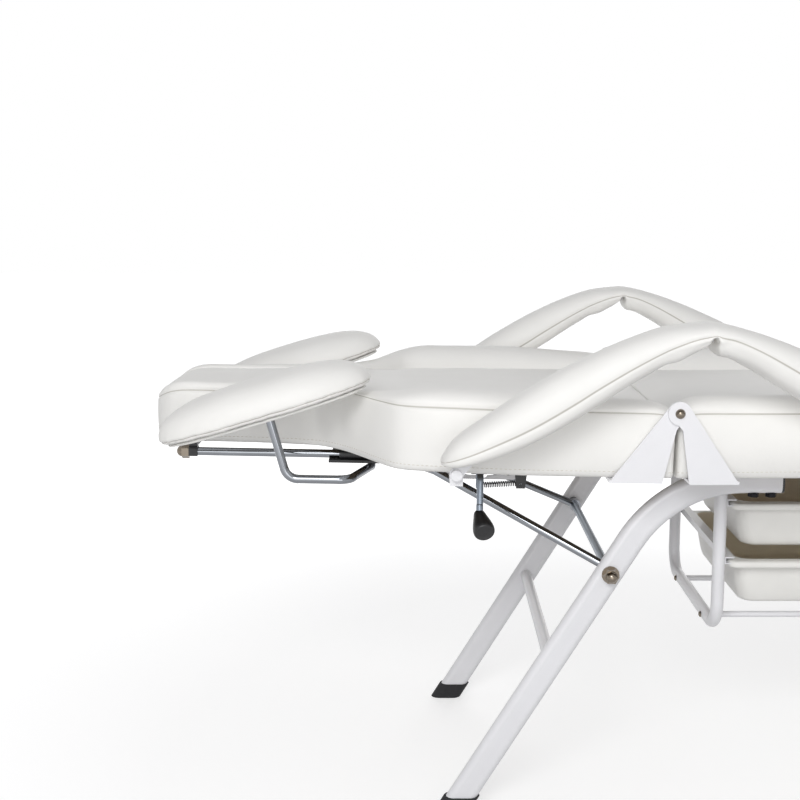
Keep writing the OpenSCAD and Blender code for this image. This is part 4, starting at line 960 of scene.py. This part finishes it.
def build_pad_base(place, length, width, seed):
    """Points and faces of a thin board wrapped in vinyl, whose edge is gathered in puckers."""
    points = []
    for scale, z in BASE_ROWS:
        for t in (2 * math.pi * k / BASE_TURNS for k in range(BASE_TURNS)):
            fold = noise.noise(Vector((t * 13, seed, 1.3))) + 0.5 * math.sin(t * PUCKERS + seed)
            fold *= scale > 0.8
            x, y = oval_point(t, length, width)
            grip = scale * (1 + 0.012 * fold)
            points.append(place @ Vector((x * grip * MM, y * grip * MM, (z + 0.3 * fold) * MM)))
    return points, ring_faces(len(BASE_ROWS), BASE_TURNS)


# ---------- trays ----------
def rounded_rectangle(x0, x1, y0, y1, radius, corner=8, edge=5):
    """Outline of a rectangle with round corners, with the same count of points for any size."""
    points = []
    centres = ((x1 - radius, y0 + radius, -90), (x1 - radius, y1 - radius, 0),
               (x0 + radius, y1 - radius, 90), (x0 + radius, y0 + radius, 180))
    arcs = [[(cx + radius * math.cos(math.radians(a0 + 90 * k / corner)),
              cy + radius * math.sin(math.radians(a0 + 90 * k / corner)))
             for k in range(corner + 1)] for cx, cy, a0 in centres]
    for arc, following in zip(arcs, arcs[1:] + arcs[:1]):
        points += arc
        points += [tuple(mix(a, b, k / edge) for a, b in zip(arc[-1], following[0]))
                   for k in range(1, edge)]
    return points


TRAY_WALL = 2.2
TRAY_LIP = 20  # how far the rolled lip reaches back from the front
TRAY_ROLL = 9  # length over which it rises to the plain rim
# Rows of the tub's inside, from its floor up to its rim. Each gives the insets at the sides,
# the front and the back without the wall, the corner radius, and the height as a share of the
# depth below the top and millimetres over that
TRAY_INSIDE = (
    (38, 41, 29, 12, 1, TRAY_WALL), (31, 34, 22, 18, 1, TRAY_WALL + 0.7), (26, 29, 17, 21, 1, 5),
    (24, 27, 15, 21, 1, 10), (21.5, 24, 12.5, 20, 0.72, 0), (16.2, 19, 7, 19, 0, -12),
    (15.4, 18, 6.2, 19, 0, -3.2), (14.6, 17.2, 5.4, 20, 0, -1.1))
# Rows of the rim and its underside, with their height and how far the lip rolls below it
TRAY_RIM = (
    (15, 15.5, 4.6, 20, -0.2, 0), (12, 12, 3.4, 18, 0, 0), (4.5, 4.2, 1.8, 14, 0, 0),
    (2.4, 1.4, 0.7, 13, -0.5, 0.4), (2.0, 0.2, 0.2, 13, -1.5, 2.0),
    (2.0, 0.2, 0.2, 13, -2.2, 5.6), (2.6, 1.2, 0.8, 13, -2.9, 6.8),
    (4.4, 2.6, 1.6, 12, -3.0, 6.2), (6.0, 4.4, 2.4, 12, -3.0, 1.2),
    (13.6, 16.4, 4.4, 20, -3.0, 0))
# Rows of the outside, as those of the inside
TRAY_OUTSIDE = (
    (14.2, 17.2, 5.2, 20, 0, -4.5), (14.8, 18, 6, 20, 0, -12), (20.5, 23, 11.5, 21, 0.72, 0),
    (23, 26, 14, 22, 1, 10), (25, 28, 16, 22, 1, 4), (29, 32, 20, 20, 1, 0.8),
    (36, 39, 27, 14, 1, 0))


def build_tray(name, node):
    """A drawn tub with soft corners, a flat rim that runs in its channels and a rolled lip."""
    low, high = (Vector(v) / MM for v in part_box(node))
    mid = (low + high) / 2
    half_l, half_w = (high.y - low.y) / 2, (high.x - low.x) / 2
    depth = high.z - low.z
    rows = [(*(inset + TRAY_WALL for inset in row[:3]), *row[3:], 0) for row in TRAY_INSIDE]
    rows += [(*row[:4], 0, *row[4:]) for row in TRAY_RIM]
    rows += [(*row, 0) for row in TRAY_OUTSIDE]
    points = []
    for side, front, back, radius, share, rise, roll in rows:
        outline = rounded_rectangle(
            side - half_w, half_w - side, front - half_l, half_l - back, radius)
        for x, y in outline:
            lip = roll * ease((TRAY_LIP - half_l - y) / TRAY_ROLL)
            points.append((mid.x + x, mid.y + y, high.z + rise - share * depth - lip))
    count = len(outline)
    obj = mesh_object(name, points, closed_faces(len(rows), count))
    # The outside is the white plastic; the inside gets the painted warm shade
    for material in ("moulded_white_polypropylene", "polypropylene_painted_warm_shade"):
        obj.data.materials.append(bpy.data.materials[material])
    for polygon in obj.data.polygons:
        polygon.material_index = int(max(polygon.vertices) // count < len(TRAY_INSIDE))
    bevel_flat_ends(obj)
    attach(obj, node)
    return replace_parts(obj, node)


def bevel_flat_ends(obj, inset_mm=3.0):
    """Inset the large flat faces, so that subdivision keeps them flat, then round the mesh."""
    bm = bmesh.new()
    bm.from_mesh(obj.data)
    wide = [f for f in bm.faces if len(f.verts) > 8]
    bmesh.ops.inset_individual(bm, faces=wide, thickness=inset_mm * MM)
    wide = [f for f in bm.faces if len(f.verts) > 8]
    bmesh.ops.triangulate(bm, faces=wide)
    for face in bm.faces:
        face.smooth = True
    bm.to_mesh(obj.data)
    bm.free()
    finish_cover(obj)


# ---------- lever's grip ----------
# Distance along the grip's axis from the middle of its round heel, and radius there
GRIP_PROFILE = [(-8.0, 1.5), (-7.6, 3.6), (-6.4, 5.6), (-4.2, 7.2), (-1, 8.2), (4, 9.2), (11, 11.0),
                (19, 13.0), (26, 14.3), (31, 14.5), (34, 14.0), (35.6, 12.9), (35.9, 12.2),
                (35.3, 11.7), (35.9, 11.1), (36.7, 7.5), (37.0, 3.5)]
GRIP_TURNS = 40
SHANK_TURNS = 24
GRIP_AXIS = (0.15, -0.88, -0.45)  # the grip is cranked towards whoever pulls it
SHANK_PROFILE = [(0, 4.4), (0.6, 4.75), (14, 4.75), (15, 4.4)]
SHANK_AXIS = (0, 0.225, 0.974)    # back up the lever's leg


def revolved(name, profile, turns, place):
    """A closed turned body from distances and radii along its axis, in millimetres."""
    points = [(r * math.cos(2 * math.pi * k / turns), r * math.sin(2 * math.pi * k / turns), s)
              for s, r in profile for k in range(turns)]
    obj = mesh_object(name, points, closed_faces(len(profile), turns), place)
    bevel_flat_ends(obj, inset_mm=0.8)
    return obj


def aimed(start, axis):
    """Frame at a place in metres, whose Z runs along an axis."""
    return Matrix.Translation(start) @ Vector(axis).to_track_quat("Z", "Y").to_matrix().to_4x4()


def build_grip(node):
    """A moulded teardrop grip turned out for the hand, on the crimped shank of the lever."""
    low, high = (Vector(v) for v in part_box(node))
    heel = (low + high) / 2
    grip = revolved("grip_teardrop", GRIP_PROFILE, GRIP_TURNS, aimed(heel, GRIP_AXIS))
    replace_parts(dress(grip, "moulded_black_nylon", "lever"), node)
    shank = revolved("grip_shank", SHANK_PROFILE, SHANK_TURNS, aimed(heel, SHANK_AXIS))
    dress(shank, "zinc_plated_steel", "lever")


# ---------- frame nodes ----------
FINISHES = {
    "powder_coated_steel": [
        "leg_rear_r", "leg_rear_l", "leg_front_r", "leg_front_l", "braces", "hinge_plates_seat",
        "hinge_plates_back", "foot_plates_seat", "foot_plates_leg", "arm_slot_plates",
        "arm_brackets", "arm_bolts", "core_rear_r", "core_rear_l", "core_front_r", "core_front_l",
        "tray_frame_rear", "tray_frame_front", "tray_rails", "runners_rear", "runners_front",
        "rack_back", "rack_leg"],
    "chrome_plated_steel": ["guide_rods", "pad_frame", "strut_back", "strut_leg"],
    "nickel_plated_steel": ["washers", "dome_nuts", "rod_nuts", "hinge_screws", "rail_screws"],
    "zinc_plated_steel": ["shafts", "lever"],
    "moulded_black_nylon": [
        "tube_caps", "shaft_bushes", "rod_holders", "lever_clamps", "pad_carriage"],
    "moulded_black_rubber": ["foot_caps"],
    "oiled_black_steel": ["frame_bolts", "back_bolts", "leg_bolts", "lever_spring"],
    "rotary_cut_birch": ["seat_board", "back_board", "leg_board"],
}
BEVELLED = ("hinge_plates_seat", "hinge_plates_back", "foot_plates_seat", "foot_plates_leg",
            "arm_slot_plates", "arm_brackets", "rack_back", "rack_leg", "seat_board", "back_board",
            "leg_board", "pad_carriage", "tube_caps", "foot_caps", "rod_holders", "lever_clamps")
EDGE_RADIUS = 0.5


def finish_nodes(names, material):
    """Give frame nodes a finish, and soften the edges of those cut from plate."""
    for name in names:
        obj = frame["nodes"][name]
        obj.data.materials.clear()
        obj.data.materials.append(bpy.data.materials[material])
        if name in BEVELLED:
            bevel = obj.modifiers.new("edge_radius", "BEVEL")
            bevel.width = EDGE_RADIUS * MM
            bevel.segments = 2
            bevel.limit_method = "ANGLE"
            bevel.angle_limit = math.radians(50)
            bevel.harden_normals = True


def sizes_of(context):
    """The sizes that a user may change."""
    return context.scene.chair_sizes


def hinge_place(name):
    """Middle of a joint that turns about a line across the chair, in metres."""
    place = joint_place(name)
    return Vector((place.x, 0, place.z))


def tilted_back(context):
    """Frame of the backrest, in metres: at its hinge, tilted as it rests."""
    turn = Matrix.Rotation(sizes_of(context).back_tilt, 4, "Y")
    return Matrix.Translation(hinge_place("back_recline")) @ turn


# ---------- operators ----------
class CHAIR_OT_finishes(Operator):
    """Make the finishes and put them on the steel, plastic and wooden parts"""

    bl_idname = "chair.finishes"
    bl_label = "Frame Finishes"

    def execute(self, context):
        make_materials(context.scene.chair_colours)
        for material, names in FINISHES.items():
            finish_nodes(names, material)
        return {"FINISHED"}


class CHAIR_OT_seat(Operator):
    """Upholster the seat with its hem stitching"""

    bl_idname = "chair.seat"
    bl_label = "Seat Cushion"

    def execute(self, context):
        sizes = sizes_of(context)
        hinge = hinge_place("back_recline")
        length = (hinge_place("leg_rest_drop").x - hinge.x) / MM
        build_cushion("seat", seat_stations(sizes, length), (-0.9, 0.9),
                      Matrix.Translation(hinge), sizes, 1, "frame", "seat_cushion",
                      free_end=False)
        return {"FINISHED"}


class CHAIR_OT_back(Operator):
    """Upholster the backrest with its hem stitching"""

    bl_idname = "chair.back"
    bl_label = "Back Cushion"

    def execute(self, context):
        sizes = sizes_of(context)
        build_cushion("back", back_stations(sizes, BACK_TAPER[-1][0]), (0.9, -1.5),
                      tilted_back(context), sizes, 2, "backrest", "back_cushion")
        return {"FINISHED"}


class CHAIR_OT_leg_rest(Operator):
    """Upholster the leg rest with its hem stitching"""

    bl_idname = "chair.leg_rest"
    bl_label = "Leg Cushion"

    def execute(self, context):
        sizes = sizes_of(context)
        hinge = hinge_place("leg_rest_drop")
        length = (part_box("leg_cushion")[1].x - hinge.x) / MM
        build_cushion("leg", leg_stations(sizes, length), (-0.9, 2), Matrix.Translation(hinge),
                      sizes, 3, "leg_rest", "leg_cushion")
        return {"FINISHED"}


class CHAIR_OT_arms(Operator):
    """Cover both armrests, each in one padded sleeve that bends at the elbow"""

    bl_idname = "chair.arms"
    bl_label = "Arm Covers"

    def execute(self, context):
        hinge = hinge_place("back_recline")
        bend = (ELBOW_X - ELBOW_BEND) * MM, (ELBOW_X + ELBOW_BEND) * MM
        for letter, side in SIDES:
            obj = build_arm(f"arm_cover_{letter}", side, sizes_of(context), hinge, 4 + side)
            obj.data.materials.append(bpy.data.materials["embossed_vinyl"])
            ends = [(hinge.x + x, side * ARM_LINE, hinge.z) for x in bend]
            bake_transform(obj, f"arm_rear_{letter}", f"arm_front_{letter}", start=ends[0], end=ends[1])
            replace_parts(obj, f"arm_rear_{letter}", f"arm_front_{letter}")
        return {"FINISHED"}


class CHAIR_OT_forearm_pads(Operator):
    """Make the two forearm pads and their covered boards"""

    bl_idname = "chair.forearm_pads"
    bl_label = "Forearm Pads"

    def execute(self, context):
        sizes = sizes_of(context)
        length, width, thick = sizes.pad_l / MM, sizes.pad_w / MM, sizes.pad_t / MM
        base_points, base_faces = [], []
        for letter, side in SIDES:
            low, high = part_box(f"forearm_pad_{letter}")
            along, over = PAD_PLACE
            place = (tilted_back(context)
                     @ Matrix.Translation((along, (low.y + high.y) / 2, over))
                     @ Matrix.Rotation(-sizes.pad_slope, 4, "Y"))
            obj = build_forearm_pad(
                f"forearm_cushion_{letter}", place, sizes, length, width, thick, 8 + side)
            dress(obj, "embossed_vinyl", "pads")
            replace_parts(obj, f"forearm_pad_{letter}")
            points, faces = build_pad_base(
                place @ Matrix.Translation((0, 0, -BASE_DROP * MM)), length - BASE_SHORTER,
                width - BASE_NARROWER, 2 + side)
            base_faces += [tuple(i + len(base_points) for i in face) for face in faces]
            base_points += points
        covers = mesh_object(
            "pad_base_covers", np.array([p[:] for p in base_points]) / MM, base_faces)
        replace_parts(dress(covers, "embossed_vinyl", "pads"), "pad_bases")
        return {"FINISHED"}


class CHAIR_OT_trays(Operator):
    """Make the two moulded storage trays"""

    bl_idname = "chair.trays"
    bl_label = "Storage Trays"

    def execute(self, context):
        for name in ("tray_upper", "tray_lower"):
            build_tray(name + "_shell", name)
        return {"FINISHED"}


class CHAIR_OT_grip(Operator):
    """Make the grip of the release lever"""

    bl_idname = "chair.grip"
    bl_label = "Lever Grip"

    def execute(self, context):
        build_grip("lever_grip")
        return {"FINISHED"}


# Soft boxes: place, target, size in metres, watts, and whether gloss shows them. The rear one
# only fills the far side: in the vinyl's sheen it would wash out the panels
LAMPS = {
    "key_softbox": ((-1.0, -3.1, 2.2), (-0.3, 0, 0.55), (1.8, 1.2), 54, True),
    "fill_softbox": ((-0.5, -3.4, 0.8), (-0.3, 0, 0.55), (3.0, 1.2), 22, True),
    "rear_softbox": ((0.2, 3.1, 1.3), (-0.3, 0, 0.6), (3.0, 1.6), 46, False),
}
ROOM_LIGHT = 0.36
CAMERA_PLACE = (-0.4975, -1.850, 0.846)
CAMERA_SHIFT = -0.02875
FLOOR_REACH = 14.0
FLOOR_GREY = (0.66, 0.66, 0.66, 1)
# The floor's own light, near the chair and where the lamps have fallen off, and how far from
# the middle in metres it starts to rise and stops
GLOW = (0.50, 0.90)
GLOW_REACH = (0.9, 3.2)


def plain_view_rays(tree):
    """Share that is 1 for rays from the camera and for those that metal and glass send on."""
    path = add_node(tree, "ShaderNodeLightPath")
    first = add_node(tree, "ShaderNodeMath", {
        0: path.outputs["Is Camera Ray"], 1: path.outputs["Is Glossy Ray"]}, operation="MAXIMUM")
    both = add_node(tree, "ShaderNodeMath", {
        0: first.outputs[0], 1: path.outputs["Is Transmission Ray"]}, operation="MAXIMUM")
    return both.outputs[0]


class CHAIR_OT_stage(Operator):
    """Set up the floor, the backdrop, the soft lamps and the camera"""

    bl_idname = "chair.stage"
    bl_label = "Stage"

    def execute(self, context):
        self.make_floor(context)
        self.make_world(context)
        for name, lamp in LAMPS.items():
            self.make_lamp(context, name, *lamp)
        self.make_camera(context)
        context.scene.view_settings.view_transform = "Standard"
        return {"FINISHED"}

    def make_floor(self, context):
        """A wide floor that stays white to the camera and keeps the chair's shadow."""
        mesh = bpy.data.meshes.new("studio_floor")
        corners = [(x * FLOOR_REACH, y * FLOOR_REACH, 0)
                   for x, y in ((-1, -1), (1, -1), (1, 1), (-1, 1))]
        mesh.from_pydata(corners, [], [(0, 1, 2, 3)])
        floor = bpy.data.objects.new("studio_floor", mesh)
        context.scene.collection.objects.link(floor)
        material = bpy.data.materials.new("painted_floor")
        tree = cleared_tree(material)
        paint = add_node(tree, "ShaderNodeBsdfDiffuse", {"Color": FLOOR_GREY})
        place = add_node(tree, "ShaderNodeTexCoord").outputs["Object"]
        away = add_node(tree, "ShaderNodeVectorMath", {0: place}, operation="LENGTH")
        # The floor's own light makes up for the lamps' fall-off, so that it ends in white
        fade = add_node(tree, "ShaderNodeMapRange", {
            "Value": away.outputs["Value"], "From Min": GLOW_REACH[0], "From Max": GLOW_REACH[1],
            "To Min": GLOW[0], "To Max": GLOW[1]})
        lift = add_node(tree, "ShaderNodeMath", {
            0: plain_view_rays(tree), 1: fade.outputs["Result"]}, operation="MULTIPLY")
        glow = add_node(tree, "ShaderNodeEmission", {
            "Color": (1, 1, 1, 1), "Strength": lift.outputs[0]})
        both = add_node(tree, "ShaderNodeAddShader", {0: paint.outputs[0], 1: glow.outputs[0]})
        add_node(tree, "ShaderNodeOutputMaterial", {"Surface": both.outputs[0]})
        mesh.materials.append(material)

    def make_world(self, context):
        """Soft grey room light; the camera and the metal see a white backdrop."""
        world = bpy.data.worlds.new("studio_world")
        tree = cleared_tree(world)
        room = add_node(tree, "ShaderNodeBackground", {
            "Color": (0.98, 0.98, 1.0, 1), "Strength": ROOM_LIGHT})
        white = add_node(tree, "ShaderNodeBackground", {
            "Color": context.scene.chair_colours.backdrop, "Strength": 1.0})
        both = add_node(tree, "ShaderNodeMixShader", {
            0: plain_view_rays(tree), 1: room.outputs[0], 2: white.outputs[0]})
        add_node(tree, "ShaderNodeOutputWorld", {"Surface": both.outputs[0]})
        context.scene.world = world

    def make_lamp(self, context, name, place, target, size, power, in_gloss):
        """A soft box at a place, turned to a target."""
        data = bpy.data.lights.new(name, "AREA")
        data.shape = "RECTANGLE"
        data.size, data.size_y = size
        data.energy = power
        lamp = bpy.data.objects.new(name, data)
        lamp.location = place
        lamp.rotation_euler = (Vector(target) - Vector(place)).to_track_quat("-Z", "Y").to_euler()
        lamp.visible_glossy = in_gloss
        context.scene.collection.objects.link(lamp)

    def make_camera(self, context):
        """The viewpoint: from the near side, a little over the arms, looking slightly down."""
        sizes = sizes_of(context)
        data = bpy.data.cameras.new("camera")
        data.lens = sizes.lens
        data.sensor_width = 36.0
        data.shift_x = CAMERA_SHIFT
        camera = bpy.data.objects.new("camera", data)
        camera.location = CAMERA_PLACE
        camera.rotation_euler = (math.pi / 2 - sizes.camera_pitch, 0, 0)
        context.scene.collection.objects.link(camera)
        context.scene.camera = camera


OPERATORS = (CHAIR_OT_finishes, CHAIR_OT_seat, CHAIR_OT_back, CHAIR_OT_leg_rest, CHAIR_OT_arms,
             CHAIR_OT_forearm_pads, CHAIR_OT_trays, CHAIR_OT_grip, CHAIR_OT_stage)


class CHAIR_PT_panel(Panel):
    """Lists the chair's pieces in the sidebar"""

    bl_idname = "CHAIR_PT_panel"
    bl_label = "Treatment Chair"
    bl_space_type = "VIEW_3D"
    bl_region_type = "UI"
    bl_category = "Chair"

    def draw(self, context):
        for operator in OPERATORS:
            self.layout.operator(operator.bl_idname)
        for group in (context.scene.chair_sizes, context.scene.chair_colours):
            column = self.layout.column()
            for name in group.bl_rna.properties.keys():
                if name not in ("rna_type", "name"):
                    column.prop(group, name)


CLASSES = (ChairSizes, ChairColours, *OPERATORS, CHAIR_PT_panel)


def register():
    for cls in CLASSES:
        bpy.utils.register_class(cls)
    bpy.types.Scene.chair_sizes = PointerProperty(type=ChairSizes)
    bpy.types.Scene.chair_colours = PointerProperty(type=ChairColours)


def unregister():
    del bpy.types.Scene.chair_colours
    del bpy.types.Scene.chair_sizes
    for cls in reversed(CLASSES):
        bpy.utils.unregister_class(cls)


def main():
    """Make every piece in order."""
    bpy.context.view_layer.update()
    register()
    for operator in OPERATORS:
        group, name = operator.bl_idname.split(".")
        getattr(getattr(bpy.ops, group), name)()


if __name__ == "__main__":
    main()
